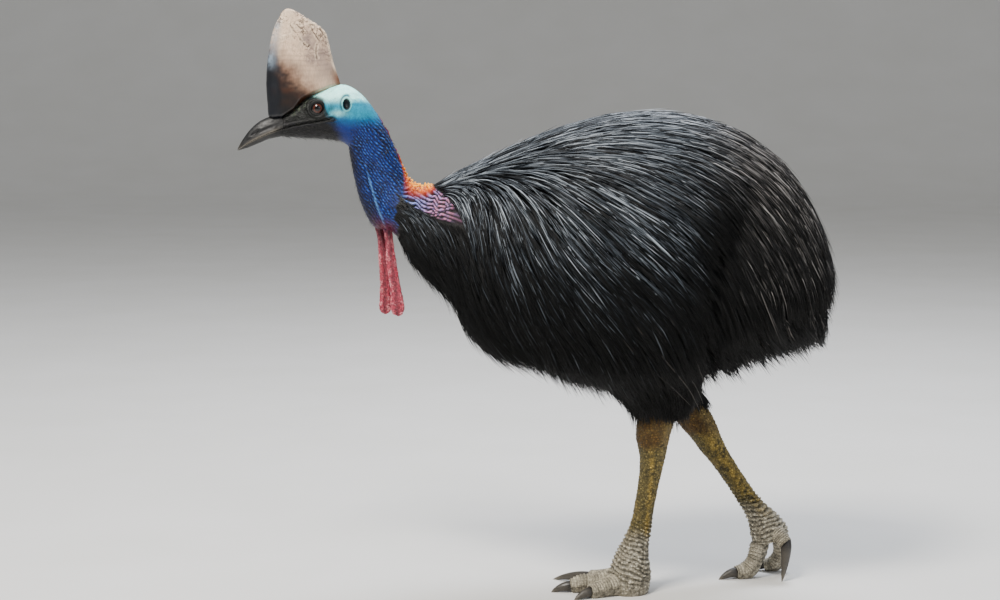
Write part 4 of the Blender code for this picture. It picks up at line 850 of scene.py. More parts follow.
def makeCasque(material):
    at = np.linspace(0, len(casque["sections"]) - 1, casque["rings"])
    rows = spline(casque["sections"], at)
    turn = 2 * math.pi * np.arange(casque["around"]) / casque["around"]
    cut, turn = np.meshgrid(np.arange(casque["rings"]), turn, indexing="ij")
    z, front, back, half = (rows[cut, k] for k in range(4))
    x = (front + back) / 2 + (back - front) / 2 * np.cos(turn)
    keel = np.abs(np.sin(turn)) ** 0.9
    y = half * keel * np.sign(np.sin(turn)) * (1 - 0.22 * np.cos(turn))
    base = np.interp(x, [p[0] for p in casque["baseLine"]], [p[1] for p in casque["baseLine"]])
    y = y * (1 - 0.5 * rise(base - z, -1, 9))
    x = x + 14 * rise(base - z, 0, 14) * (1 - rise(x, -500, -480))
    points = np.stack([x, y, z], -1) * mm
    u = (x - front) / (back - front)
    high = (z - 900) / 209
    broad = grain(points, 0.045, 2.2)
    middling = grain(points, 0.014, 5.1)
    fine = grain(points, 0.005, 9.4)
    # worn zone near the top and back, with chips, flakes and pits
    worn = rise(high + 0.25 * u + 0.16 * broad, 0.58, 0.95)
    chips = np.clip(rise(middling, 0.12, 0.3) * worn, 0, 1)
    groove = np.sin((u * 46 + 7 * broad) * 1.0) * 0.5
    lift = 1.2 * broad + 0.35 * groove * (1 - worn) - 1.0 * chips + 0.45 * fine * worn + 0.5 * middling
    # the front edge is a rounded keel, set off by a shallow furrow
    lift += 1.0 * bump(u, 0.02, 0.05) - 0.9 * bump(u, 0.13, 0.04) * (1 - rise(high, 0.75, 0.95))
    scratch, flake = np.zeros_like(x), np.zeros_like(x)
    for k, line in enumerate(casque["scratches"]):
        wander = 1.6 * fine + 1.2 * middling
        away, along = lineDistance(x + wander, z + wander * (-1) ** k, line)
        scratch = np.maximum(scratch, bump(away, 0, 1.3) * (1 - rise(along, 0.93, 1.0)))
        flake = np.maximum(flake, bump(away, 2.7, 1.2) * (1 - rise(along, 0.93, 1.0)))
    lift += 0.4 * flake - 1.2 * scratch
    points = points + ringNormals(points) * (lift * mm * rise(z, 884, 905) * (1 - rise(z, 1104, 1109)))[..., None]

    def over(colours, name, weight):
        return colours + (np.array(linear(casque[name])[:3]) - colours) * np.clip(weight, 0, 1)[..., None]

    colours = np.zeros(x.shape + (3,)) + np.array(linear(casque["taupe"])[:3])
    colours = over(colours, "chalk", rise(high + 0.3 * broad + 0.1 * u, 0.3, 0.75))
    colours = over(colours, "taupe", 0.5 * rise(np.sin(z / 1.5 + 3 * broad - 2 * u), 0.2, 1.0) * bump(high, 0.52, 0.12))
    # mauve towards the rear is painted shade
    colours = over(colours, "mauveShade", 0.6 * rise(u + 0.3 * broad + 0.2 * middling, 0.5, 0.9) * bump(high, 0.6, 0.2))
    # paler towards the top front: painted highlight
    colours = over(colours, "paleEdge", 0.6 * rise(high - 0.25 * u + 0.3 * middling, 0.5, 0.9))
    # a second patch of painted shade in mauve towards the rear
    colours = over(colours, "mauveShade", 0.7 * bump(u + 0.15 * middling, 0.66, 0.12) * bump(high, 0.72, 0.1))
    colours = over(colours, "paleEdge", 0.8 * rise(u, 0.94, 0.99) * rise(high, 0.35, 0.5))
    # brown climbs from the lower front, and ends in black over the bill
    lowEdge = high + 0.42 * u + 0.06 * broad + 0.05 * fine + 0.04 * middling
    colours = over(colours, "rust", 0.5 * (1 - rise(lowEdge, 0.52, 0.7)))
    colours = over(colours, "brown", 1 - rise(lowEdge, 0.41, 0.63))
    colours = over(colours, "rust", 0.2 * bump(high + 0.3 * u, 0.33, 0.09) * rise(middling, -0.2, 0.4))
    colours = over(colours, "black", 1 - rise(high + 0.75 * u + 0.10 * middling, 0.22, 0.62))
    band = 1 - rise(u + 0.07 * middling + 0.05 * broad, 0.06, 0.27)
    colours = over(colours, "blueBlack", 0.92 * band * (1 - rise(high + 0.1 * broad, 0.52, 0.76)))
    # pale blue along the front keel: painted highlight
    colours = over(colours, "paleBlueHighlight", 0.75 * bump(u + 0.04 * fine, 0.05, 0.08) * rise(high, 0.42, 0.56)
                   * (1 - rise(high, 0.84, 0.95)) * (0.55 + 0.45 * rise(0.6 * middling + fine, -0.4, 0.5)))
    colours = over(colours, "rust", 0.85 * rise(u, 0.86, 0.99) * (1 - rise(high, 0.36, 0.5)))
    colours = over(colours, "brown", 0.6 * chips * rise(fine, 0.0, 0.5))
    colours = over(colours, "paleEdge", 0.7 * flake)
    colours = over(colours, "brown", scratch * (0.35 + 0.65 * rise(fine, -0.35, 0.15)))
    verts, quads, tris = loftArrays(points)
    mesh = outward(meshFrom("casque_horn", turnHead(verts), [quads, tris]))
    ends = np.array([linear(casque["black"])[:3], linear(casque["paleEdge"])[:3]])
    setColours(mesh, "tint", np.concatenate([colours.reshape(-1, 3), ends]))
    setNumbers(mesh, "worn", np.append(worn.ravel(), [0, 1]))
    piece("casque_horn", mesh, [material], ("casque",))


# Bill

bill = {
    # x, z of the ridge, z of the mouth line, z of the lower edge, half width
    "sections": (
        (-567, 845.5, 845, 843.6, 0.6), (-563, 853.5, 846.5, 843.5, 3.2), (-556, 865, 851, 845.5, 6.2),
        (-543, 882, 859, 849.5, 9.8), (-526, 897, 867.5, 856.5, 13.2), (-507, 906, 876, 864, 16.8),
        (-482, 913, 885, 869.5, 20.4), (-466, 912, 889, 872.5, 17.5)),
    "shares": ((0.0, 1.0), (0.3, 0.96), (0.58, 0.8), (0.82, 0.52), (0.97, 0.2), (1.0, 0.0), (0.6, 0.04), (0.0, 0.06)),
    "rings": 110, "halfAround": 34, "parting": 0.9,
    "nostril": {"x": -534, "z": 876.5, "long": 9.5, "high": 2.6, "slope": -0.6},
    "black": "#050506", "slate": "#15171a", "tomia": "#6b655a", "worn": "#39352f",
}


def makeBill(material):
    at = np.linspace(0, len(bill["sections"]) - 1, bill["rings"])
    rows = spline(bill["sections"], at)
    profile = spline(bill["shares"], np.linspace(0, len(bill["shares"]) - 1, bill["halfAround"]))
    profile = np.concatenate([profile, profile[-2:0:-1] * (-1, 1)])
    for half, sign in (("upper", 1), ("lower", -1)):
        x = rows[:, 0:1]
        edge = rows[:, 2:3] + sign * bill["parting"] / 2
        far = rows[:, 1:2] if sign > 0 else rows[:, 3:4]
        wide = rows[:, 4:5] * (1.0 if sign > 0 else 0.93)
        y = profile[None, :, 0] * wide
        high = np.clip(profile[None, :, 1], 0, 1) + 0 * x
        z = edge + (far - edge) * high
        x = x + 0 * y
        points = np.stack([x, y, z], -1) * mm
        outer = np.arange(len(profile)) * 1.0
        outer = np.minimum(outer, len(profile) - outer) / (len(profile) / 2)
        outside = np.broadcast_to(1 - rise(outer, 0.7, 0.76)[None], x.shape)
        fine = grain(points * (0.2, 1, 1), 0.0012, 4.0)
        lift = 0.12 * fine * outside
        if sign > 0:
            slot = bill["nostril"]
            dx, dz = x - slot["x"], z - slot["z"]
            cos, sin = math.cos(slot["slope"]), math.sin(slot["slope"])
            away = np.hypot((dx * cos - dz * sin) / slot["long"], (dx * sin + dz * cos) / slot["high"])
            lift = lift - 3.4 * (1 - rise(away, 0.5, 1.1)) * outside + 0.7 * bump(away, 1.5, 0.35) * outside
            # a long furrow from the nostril to the bill's root
            furrow = bump(z - (slot["z"] + 0.42 * (x - slot["x"]) - 1.5), 0, 2.0) * rise(x, -536, -520)
            lift = lift - 1.0 * furrow * outside
        else:
            away = np.full(x.shape, 9.0)
            furrow = bump(high, 0.55, 0.12)
            lift = lift - 0.6 * furrow * outside
        lift = lift - 0.5 * bump(high, 0.3, 0.07) * outside * rise(x, -560, -545)
        points = points + ringNormals(points) * (lift * mm)[..., None]
        colours = np.zeros(x.shape + (3,)) + np.array(linear(bill["black"])[:3])
        streak = rise(grain(points * (0.15, 1, 1), 0.002, 1.0), 0.0, 0.5)
        # the black in the nostril's slot is painted shade
        for name, weight in (
                ("slate", 0.75 * rise(high, 0.3, 0.9) * streak), ("worn", 0.45 * bump(high, 0.14, 0.08) * outside),
                ("tomia", 0.9 * bump(high, 0.03, 0.05) * (1 - rise(x, -500, -480))),
                ("worn", 0.7 * (1 - rise(x, -565, -556))), ("black", 1 - rise(away, 0.8, 1.15)),
                ("black", 0.5 * rise(x, -505, -482))):
            colours = colours + (np.array(linear(bill[name])[:3]) - colours) * np.clip(weight, 0, 1)[..., None]
        verts, quads, tris = loftArrays(points)
        mesh = outward(meshFrom(f"bill_horn_{half}", turnHead(verts), [quads, tris]))
        ends = np.array([linear(bill["worn"])[:3], linear(bill["black"])[:3]])
        setColours(mesh, "tint", np.concatenate([colours.reshape(-1, 3), ends]))
        setNumbers(mesh, "dull", np.append(rise(x + 4 * streak, -514, -486).ravel(), [0, 1]))
        piece(f"bill_horn_{half}", mesh, [material], (f"bill_{half}",))


# Wattles

wattles = {
    "left": ((-289, -9, 722, 10, 8), (-286, -11, 706, 9, 7), (-281, -13, 668, 7.5, 6), (-277, -15, 628, 9, 6.5),
             (-270, -16, 585, 10.5, 7), (-265, -16, 548, 12.5, 7.5), (-264, -16, 532, 10, 6), (-264, -16, 526, 2, 1.5)),
    "right": ((-304, 8, 722, 10, 8), (-302, 10, 706, 9, 7), (-296, 12, 668, 7.5, 6), (-292, 13, 628, 9, 6.5),
              (-290, 14, 585, 10, 7), (-289, 14, 546, 11, 7.5), (-289, 14, 531, 9, 6), (-289, 14, 526, 2, 1.5)),
    "rings": 170, "around": 64, "pink": "#c23a52", "coral": "#f59aa0", "crimson": "#640a26", "dark": "#0b2466",
}


def makeWattles(material):
    for side in sides:
        def folds(share, turn):
            deep = 0.11 * np.cos(3 * turn + 2.5 * share) + 0.06 * np.cos(5 * turn - 4 * share + 1)
            return deep + 0.06 * np.sin(19 * share)
        rings, share, turn = tubeRings(wattles[side], wattles["rings"], wattles["around"], (0, 1, 0), folds)
        deep = np.cos(3 * turn + 2.5 * share)
        grains = grain(rings, 0.0026, 6.0)
        lumps = grain(rings, 0.008, 2.0)
        rings = rings + ringNormals(rings) * ((1.1 * grains + 0.9 * lumps) * mm)[..., None]
        colours = np.zeros(share.shape + (3,)) + np.array(linear(wattles["pink"])[:3])
        # coral on raised lumps, grains and fold crests is painted highlight; crimson in the folds and between the
        # grains is painted shade, and crimson near the root is the skin's own colour
        for name, weight in (
                ("coral", rise(0.3 * deep + lumps + 0.7 * grains, 0.0, 0.8) * 0.85),
                ("crimson", rise(-deep, 0.3, 0.95) * 0.45), ("crimson", 0.75 * rise(-grains, 0.1, 0.45)),
                ("crimson", 0.9 * (1 - rise(share + 0.08 * lumps + 0.05 * grains, 0.17, 0.46))),
                ("dark", 1 - rise(share + 0.07 * lumps, 0.1, 0.23))):
            colours = colours + (np.array(linear(wattles[name])[:3]) - colours) * np.clip(weight, 0, 1)[..., None]
        verts, quads, tris = loftArrays(rings)
        mesh = outward(meshFrom(f"wattle_skin_{side}", turnHead(verts), [quads, tris]))
        ends = np.array([linear(wattles["dark"])[:3], linear(wattles["pink"])[:3]])
        setColours(mesh, "tint", np.concatenate([colours.reshape(-1, 3), ends]))
        crease = np.clip(0.6 * deep + 0.6 * grains, -1, 1)
        setNumbers(mesh, "crease", np.append(crease.ravel(), [0, 0]))
        piece(f"wattle_skin_{side}", mesh, [material], (f"wattle_{side}",))


# Coat of feathers

coat = {
    "spacing": 9.2, "perLock": 5, "spread": 3.4, "gather": 0.35, "ridge": 1.6, "rootDepth": 0.8, "halfWidth": 0.95,
    "length": 152.0, "fullWidth": 0.150, "steps": 12, "seed": 31, "patch": 0.003, "turnOver": 78,
    "bellyLie": 40, "hemLift": 26, "fringeLie": 42, "valleyDeep": 17, "crestLit": (0.12, 0.5),
}
# Lie of the feathers in degrees below the horizontal, towards the tail, at each x in mm
midLie = ((-300, 34), (-250, 36), (-215, 38), (-175, 47), (-140, 60), (-105, 72), (-60, 69), (-10, 60), (83, 48), (216, 41),
          (320, 50), (362, 62), (463, 60), (560, 62))
lowLie = ((-300, 36), (-250, 40), (-215, 46), (-150, 60), (-31, 62), (83, 54), (197, 55), (300, 66), (362, 70),
          (463, 56), (560, 54))
# Edge where the flank's feathers end over the separate rump plume: z, x in mm
plumeEdge = ((360, 288), (430, 294), (485, 298), (567, 304), (615, 312), (670, 321), (747, 330), (900, 330))


def lieOf(t, turn, point):
    ahead, behind = bodyPoint(t + 0.2, 0 * t), bodyPoint(t - 0.2, 0 * t)
    backSlope = np.degrees(np.arctan2(-(ahead - behind)[..., 2], (ahead - behind)[..., 0]))
    side = np.abs((turn + math.pi) % (2 * math.pi) - math.pi)
    x = point[..., 0] / mm
    mid = np.interp(x, [p[0] for p in midLie], [p[1] for p in midLie])
    low = np.interp(x, [p[0] for p in lowLie], [p[1] for p in lowLie])
    flank = mid + (low - mid) * rise(side, 1.5, 2.0)
    angle = backSlope + (flank - backSlope) * smooth(side / math.radians(coat["turnOver"]))
    angle = angle + (coat["bellyLie"] - angle) * rise(side, math.radians(118), math.radians(160))
    return angle


def hemHeight(x, y):
    sections = np.array(bodySections)[torsoStart:] * mm
    low = np.interp(x, sections[:, 2], sections[:, 3])
    half = np.interp(x, sections[:, 2], sections[:, 4])
    return low + coat["hemLift"] * mm * np.minimum(1.0, np.abs(y) / half) ** 2


def coatRoots(rng):
    # Roots in jittered rows, evenly spaced over the outline
    roots = []
    rows = lengthSteps(10.3, 23.0, coat["spacing"])
    for t in rows:
        turn = np.linspace(-math.pi, math.pi, 241)
        ring = bodyPoint(np.full_like(turn, t), turn)
        run = np.concatenate([[0], np.cumsum(np.linalg.norm(np.diff(ring, axis=0), axis=1))])
        # the neck's short feathers stand closer
        count = int(run[-1] / (coat["spacing"] * mm * (0.55 + 0.45 * rise(t, 12.0, 14.5))))
        repeats = 2 if t < 13 else 1
        for _ in range(repeats):
            places = (np.arange(count) + rng.uniform(0.05, 0.95, count)) / count * run[-1]
            turns = np.interp(places, run, turn)
            roots.append(np.stack([t + rng.uniform(-0.13, 0.13, count), turns], -1))
    roots = np.concatenate(roots)
    point = bodyPoint(roots[:, 0], roots[:, 1])
    grows = feathered(roots[:, 0], np.abs(roots[:, 1]), point[:, 0] / mm, point[:, 2] / mm)
    return roots[grows > 0.5]


def layGuides(roots, rng):
    # Each guide follows the lie over the outline and hangs free where the body curves under
    t, turn = roots[:, 0].copy(), roots[:, 1].copy()
    count, steps = len(t), coat["steps"]
    scale = np.clip(bodyFrame(t)[3] / coat["fullWidth"], 0.3, 1.0)
    length = coat["length"] * mm * scale * rng.uniform(0.85, 1.15, count)
    _, rootNormal, _, _ = bodyFrameAt(t, turn)
    underside = (rootNormal[:, 2] < -0.6) & (t > 13.2)
    # low at the rear the body turns under, and the feathers follow it round
    tucked = (rootNormal[:, 0] > 0.15) & (rootNormal[:, 2] < -0.08) & ~underside
    length = np.where(underside, 0.115, length)
    ds = length / steps
    stray = rng.normal(0, 3.2, count)
    lift = rng.normal(0, 2.0, count) * mm * scale
    deep = coat["rootDepth"] * rng.uniform(0.8, 1.1, count)
    start = bodyPoint(t, turn)
    rear = rise(start[:, 0] / mm, -90, 70)
    hemRoom = (7 - 10 * rear + rng.normal(0, 1, count) * (3 + 7 * rear)) * mm
    onFlank = plumeAway(start) < -5
    overhang = rng.normal(14, 15, count)
    # the belly is a brush of tips that hang from the core
    hanging = underside.copy()
    fringe = np.radians(coat["fringeLie"] + rng.normal(0, 7, count) + 10 * rise(t, 18.5, 20.5))
    sideways = rng.normal(0, 0.1, count)
    direction = unit(np.stack([np.cos(fringe), sideways, -np.sin(fringe)], -1))
    flight = np.where(hanging, 99, 0)
    alive = np.ones(count, bool)
    valid = np.ones(count, int)
    path, normals = np.zeros((steps + 1, count, 3)), np.zeros((steps + 1, count, 3))
    for s in range(steps + 1):
        point, normal, along, around = bodyFrameAt(t, turn)
        climb = smooth((s / steps + 0.03) / 0.42)
        shown = bodyPoint(t, turn, np.clip(deep * (1 - climb) + 0.03, 0, 1)) + normal * (lift * climb)[:, None]
        furrow = np.where(onFlank, 0.0, valleyAt(point)) * climb
        shown = shown - normal * (coat["valleyDeep"] * mm * furrow)[:, None]
        if s:
            free = path[s - 1] + direction * ds[:, None]
            here = np.where(hanging[:, None], free, shown)
            normal = np.where(hanging[:, None], normals[s - 1], normal)
            spent = hanging & (here[:, 2] < hemHeight(here[:, 0], here[:, 1]) + hemRoom)
            spent |= (t > rumpEnd - 0.5) & ~hanging
            spent |= hanging & (flight < 0)
            spent |= onFlank & (plumeAway(here) > overhang + 110 * rise(here[:, 2], 0.62, 0.80))
            alive &= ~spent
            valid += alive
        else:
            here = np.where(underside[:, None], bodyPoint(t, turn, 1.0), shown)
        path[s], normals[s] = here, normal
        angle = np.radians(lieOf(t, turn, point) + stray)
        raw = np.stack([np.cos(angle), 0 * angle, -np.sin(angle)], -1)
        leaves = np.sum(raw * normal, -1, keepdims=True)
        way = unit(raw - normal * leaves)
        # where the body turns away, a feather leaves it and hangs; at the rump only its tip does
        starts = (leaves[:, 0] > 0.3) & ~underside & ~hanging & ~(tucked & (s < steps - 3))
        atRump = (normal[:, 0] > 0.3) & (point[:, 2] > hemHeight(point[:, 0], point[:, 1]) + 0.05)
        atRump |= point[:, 0] > 0.54
        steep = atRump * rise(-point[:, 2], -0.70, -0.58)
        fall = unit(np.stack([raw[:, 0] * (1 - 0.7 * steep), way[:, 1] * 0.3, raw[:, 2] - 0.12 - 0.4 * steep], -1))
        direction = np.where(starts[:, None], fall, direction)
        reach = rng.integers(0, 3, count) + (3.5 * steep).astype(int)
        flight = np.where(starts, np.where(atRump, reach, 99), flight - hanging)
        hanging |= starts
        a, b, c = np.sum(along * along, -1), np.sum(along * around, -1), np.sum(around * around, -1)
        p, q = np.sum(way * along, -1), np.sum(way * around, -1)
        det = a * c - b * b
        moving = alive & ~hanging
        t = np.where(moving, np.clip(t + np.clip(ds * (p * c - q * b) / det, -0.5, 0.5), 0, rumpEnd - 0.3), t)
        turn = np.where(moving, turn + np.clip(ds * (q * a - p * b) / det, -0.5, 0.5), turn)
    return path.transpose(1, 0, 2), normals.transpose(1, 0, 2), valid, scale


def plumeAway(point):
    # How far behind the rump plume's front edge a point is, in mm
    edge = np.interp(point[..., 2] / mm, [p[0] for p in plumeEdge], [p[1] for p in plumeEdge])
    return point[..., 0] / mm - edge


def valleyAt(point):
    # 1 in the dark furrow where the flank's feathers end over the rump plume
    away = plumeAway(point) - 12
    low = 1 - rise(point[..., 2] / mm, 650, 850)
    behind = np.interp(point[..., 2] / mm, (460, 780), (72, 42))
    return np.exp(-np.where(away < 0, away / 24, away / behind) ** 2) * low * rise(np.abs(point[..., 1]) / mm, 60, 110)


def readGuides(path, normals, valid, share):
    # Points and normals at shares of each guide's own length
    at = np.clip(share, 0, 1) * (valid - 1)[:, None]
    i = np.clip(at.astype(int), 0, path.shape[1] - 2)
    u = (at - i)[..., None]
    rows = np.arange(len(path))[:, None]
    point = path[rows, i] * (1 - u) + path[rows, i + 1] * u
    normal = unit(normals[rows, i] * (1 - u) + normals[rows, i + 1] * u)
    return point, normal


def strandsFrom(path, normals, valid, scale, rootUv, rng, perLock, rings, style):
    # Splits each guide into fine strands that part at its root and gather towards its tip
    count = len(path)
    pick = np.repeat(np.arange(count), perLock)
    total = len(pick)
    start = rng.uniform(0, 0.32, total) ** 1.2
    end = np.clip(rng.uniform(0.72, 1.0, total), 0, 1)
    share = start[:, None] + (end - start)[:, None] * np.linspace(0, 1, rings + 1)[None]
    point, normal = readGuides(path[pick], normals[pick], valid[pick], share)
    ahead = np.empty_like(point)
    ahead[:, 1:-1] = point[:, 2:] - point[:, :-2]
    ahead[:, 0] = point[:, 1] - point[:, 0]
    ahead[:, -1] = point[:, -1] - point[:, -2]
    ahead = unit(ahead)
    across = unit(np.cross(normal, ahead))
    size = scale[pick][:, None]
    along = np.linspace(0, 1, rings + 1)[None]
    beside = rng.normal(0, 0.6, total)[:, None] * style["spread"] * mm * size
    # the first strand of each lock lies on its crest and carries the lock's painted highlight
    onCrest = (np.arange(total) % perLock == 0)[:, None]
    beside = np.where(onCrest, 0.2 * beside, beside)
    above = rng.normal(0, 0.32, total)[:, None] * style["spread"] * 0.45 * mm * size
    above = above + coat["ridge"] * mm * size * (1 - np.minimum(1, np.abs(beside) / (0.7 * style["spread"] * mm * size)))
    loose = 0.35 + 0.65 * rise(point[:, -1, 2] - hemHeight(point[:, -1, 0], point[:, -1, 1]), 0.02, 0.08)
    gather = 1 - style["gather"] * loose[:, None] * along ** 0.8
    bend = rng.normal(0, 1, total)[:, None] * style["bend"] * mm * along ** 2 * size
    # more hairs stand off low down, where the photo's edge is wispy
    lowDown = 1 - rise(point[:, -1, 2], 0.48, 0.70)
    away = np.where(rng.random(total) < style["stray"] + 0.3 * lowDown,
                    rng.uniform(2, style["strayLift"], total) * (1 + 0.6 * lowDown), 0.0)[:, None] * mm
    point = point + across * (beside * gather + bend)[..., None]
    point = point + normal * (above * gather + away * along ** 2)[..., None]
    point[..., 2] -= 0.7 * away * along ** 2 * lowDown[:, None]
    wide = style["halfWidth"] * mm * rng.uniform(0.7, 1.3, total)[:, None] * (0.55 + 0.45 * size)
    taper = np.interp(along, (0, 0.3, 0.7, 1.0), (0.75, 1.0, 0.8, 0.0))
    wide = wide * taper
    verts = np.empty((total, 3 * rings + 1, 3))
    for k in range(rings):
        p, n, a, w = point[:, k], normal[:, k], across[:, k], wide[:, k][:, None]
        verts[:, 3 * k] = p - a * w
        verts[:, 3 * k + 1] = p + n * w * 0.9
        verts[:, 3 * k + 2] = p + a * w
    verts[:, -1] = point[:, -1]
    faces = [(0, 2, 1)]
    for k in range(rings - 1):
        for c in range(3):
            a, b = 3 * k + c, 3 * k + (c + 1) % 3
            faces += [(a, b, b + 3), (a, b + 3, a + 3)]
    last = 3 * (rings - 1)
    faces += [(last + c, last + (c + 1) % 3, 3 * rings) for c in range(3)]
    faces = np.array(faces)
    corners = verts[0] - verts[0].mean(0)
    volume = sum(np.dot(corners[f[0]], np.cross(corners[f[1]], corners[f[2]])) for f in faces)
    if volume < 0:
        faces = faces[:, ::-1]
    uv = np.empty((total, 3 * rings + 1, 2))
    sideUv = np.array([0.0, 0.5, 1.0] * rings + [0.5])
    alongUv = np.repeat(np.linspace(0, 1, rings + 1), 3)[:3 * rings + 1]
    alongUv[-1] = 1.0
    uv[..., 0] = rootUv[pick][:, 0:1] + (sideUv - 0.5)[None] * coat["patch"]
    uv[..., 1] = rootUv[pick][:, 1:2] + (alongUv - 0.5)[None] * coat["patch"]
    # most locks are nearly black, and the ones given a painted highlight, more of them high on the body, are palest
    # along their middle
    middle = point[:, 2]
    level = middle[:, 2] + 0.35 * np.minimum(0.0, middle[:, 0] - 0.08)
    high = rise(level, 0.50, 0.69)
    rump = rise(middle[:, 0], 0.25, 0.33)
    upper = rise(middle[:, 2], 0.66, 0.78)
    lit = 0.16 + 0.5 * high * (1 - rump) + rump * (0.24 * rise(middle[:, 0], 0.36, 0.42) + 0.3 * upper)
    lockTone = rng.normal(0, 0.06, count)[pick]
    lockLit = (rng.random(count)[pick] < lit) * rng.uniform(*coat["crestLit"], count)[pick]
    # painted sheen in broad patches along the lit locks
    lockLit = lockLit * (0.4 + 0.6 * high) * (1 + 0.7 * grain(middle, 0.075, 5.0))
    # painted shade towards the front of the body
    front = 1 - rise(middle[:, 0], -0.16, 0.0)
    # painted sheen on strands that face up
    skyward = rise(normal[:, 2, 2], -0.1, 0.75) * high * (1 - 0.35 * rump * (1 - upper))
    # painted highlights on single hairs beside the lit locks
    single = (rng.random(total) < 0.11 + 0.34 * high) * rng.uniform(0.12, 0.34, total) * (1 + 0.7 * (1 - high))
    single = single * (1 - 0.5 * front * (1 - high))
    lockLit = lockLit * (1 - 0.3 * front) * (1 - 0.3 * skyward)
    # painted highlight on top of the breast at the neck's base
    throatTop = rise(middle[:, 2], 0.65, 0.72) * (1 - rise(middle[:, 0], -0.15, -0.07))
    # painted shade at the edges of each lock
    edge = np.minimum(1, np.abs(beside[:, 0]) / (style["spread"] * 0.75 * mm * size[:, 0]))
    toneAndPaintedLight = 0.30 + lockTone + rng.normal(0, 0.08, total) + lockLit * np.where(onCrest[:, 0], 0.9, 0.36 - 0.36 * edge)
    toneAndPaintedLight = toneAndPaintedLight - 0.12 * edge * ~onCrest[:, 0] + 0.3 * skyward * (1 - 0.25 * front) * (0.6 + 0.4 * rng.random(total))
    # painted shade lower down the body
    toneAndPaintedLight = toneAndPaintedLight * (0.6 + 0.4 * rise(level, 0.46, 0.66)) + single + 0.12 * throatTop
    # painted shade in the furrow before the rump plume
    toneAndPaintedLight = toneAndPaintedLight * (1 - 0.75 * valleyAt(middle))
    # painted shade at each strand's root under the feathers over it, and darker towards the tip
    profile = np.repeat(np.interp(np.linspace(0, 1, rings + 1), (0, 0.3, 0.75, 1), (0.6, 1, 1, 0.7)), 3)[:3 * rings + 1]
    return verts, faces, uv, np.clip(toneAndPaintedLight[:, None] * profile, 0, 1), point


def coatPiece(name, verts, faces, uv, toneAndPaintedLight, warm, material):
    # Joins strands to one mesh with its tone and painted light, warmth and bake map
    total, each = verts.shape[:2]
    tris = (faces[None] + (np.arange(total) * each)[:, None, None]).reshape(-1, 3)
    mesh = meshFrom(name, verts.reshape(-1, 3), [tris])
    setNumbers(mesh, "toneAndPaintedLight", toneAndPaintedLight)
    setNumbers(mesh, "warm", np.repeat(warm, each))
    layer = mesh.uv_layers.new(name="OFBake")
    corners = np.empty(len(mesh.loops), np.int32)
    mesh.loops.foreach_get("vertex_index", corners)
    layer.uv.foreach_set("vector", uv.reshape(-1, 2)[corners].astype(np.float32).ravel())
    return piece(name, mesh, [material], ())


def makeCoat(material):
    rng = np.random.default_rng(coat["seed"])
    roots = coatRoots(rng)
    path, normals, valid, scale = layGuides(roots, rng)
    x, z = path[..., 0] / mm, path[..., 2] / mm
    away, _ = lineDistance(x, z, skinTongue + skinTongue[:1])
    overTongue = insideOutline(x, z, skinTongue) & (away > 2.5) & (path[..., 2] < 0.775)
    keep = (valid > 2) & ~overTongue.any(1)
    roots, path, normals, valid, scale = roots[keep], path[keep], normals[keep], valid[keep], scale[keep]
    rootUv = np.stack([roots[:, 0] / rumpEnd, (roots[:, 1] / (2 * math.pi)) % 1.0], -1) * 0.98 + 0.01
    style = {"spread": coat["spread"], "gather": coat["gather"], "halfWidth": coat["halfWidth"], "stray": 0.05,
             "strayLift": 9.0, "bend": 2.2}
    # sections from and to, and how many rings a strand needs to follow the curl there
    regions = (("breast", 10.0, 15.0, 4), ("shoulder", 15.0, 16.8, 4), ("flank", 16.8, 18.4, 3), ("hip", 18.4, 19.9, 3),
               ("rump", 19.9, 24.0, 3))
    for name, first, last, rings in regions:
        for side, sign in sides.items():
            mine = (roots[:, 0] >= first) & (roots[:, 0] < last) & (np.sign(np.sin(roots[:, 1])) == sign)
            verts, faces, uv, toneAndPaintedLight, point = strandsFrom(path[mine], normals[mine], valid[mine], scale[mine],
                                                        rootUv[mine], rng, coat["perLock"], rings, style)
            middle = point[:, 2]
            warm = rise(middle[:, 0], 0.26, 0.42) * 0.7 + 0.3 * (1 - rise(middle[:, 2], 0.42, 0.58))
            coatPiece(f"plumage_{name}_{side}", verts, faces, uv, toneAndPaintedLight, np.clip(warm, 0, 1), material)
            print("plumage", name, side, len(verts) * len(faces), "triangles")


# Thighs, legs and feet

# Feathered thighs: centre x, z and half sizes fore-and-aft and across, in mm
thighs = {
    "left": ((190, 512, 126, 84), (196, 470, 118, 80), (205, 430, 104, 74), (216, 396, 80, 64), (226, 366, 58, 50), (228, 345, 45, 40)),
    "right": ((222, 512, 120, 84), (236, 470, 112, 80), (248, 430, 80, 68), (251, 396, 52, 53), (280, 362, 38, 41), (294, 338, 34, 34)),
}
thighY = {"left": -82, "right": 82}
thighCoat = {"deep": 13, "guides": 1150, "perLock": 6, "rings": 3, "reach": 2.0, "seed": 12, "drop": 30}
# Shanks from the thigh to the foot: x, y, z and half sizes fore-and-aft and across, in mm
shanks = {
    "left": ((228, -82, 400, 44, 36), (228, -82, 345, 41, 33), (222, -81, 322, 39.5, 33), (220, -79, 300, 36, 31),
             (220, -77, 268, 29, 24.5), (215, -74, 225, 24, 20), (206, -70, 170, 22, 18.5), (199, -67, 126, 24.5, 19.5),
             (191, -65, 96, 31, 24), (184, -64, 70, 37.5, 31), (180, -63, 42, 43.5, 38), (177, -63, 16, 47, 40),
             (176, -63, -4, 44, 37)),
    "right": ((278, 82, 392, 34, 34), (297, 82, 338, 36, 32), (310, 81, 316, 35, 32), (326, 79, 294, 33, 29),
              (343, 76, 264, 27, 24.5), (363, 73, 234, 23, 20), (390, 69, 194, 21.5, 18.5), (416, 65, 156, 22, 18.5),
              (434, 63, 130, 27, 22), (449, 62, 108, 34, 30), (459, 61, 88, 38, 36), (463, 61, 76, 33, 33)),
}
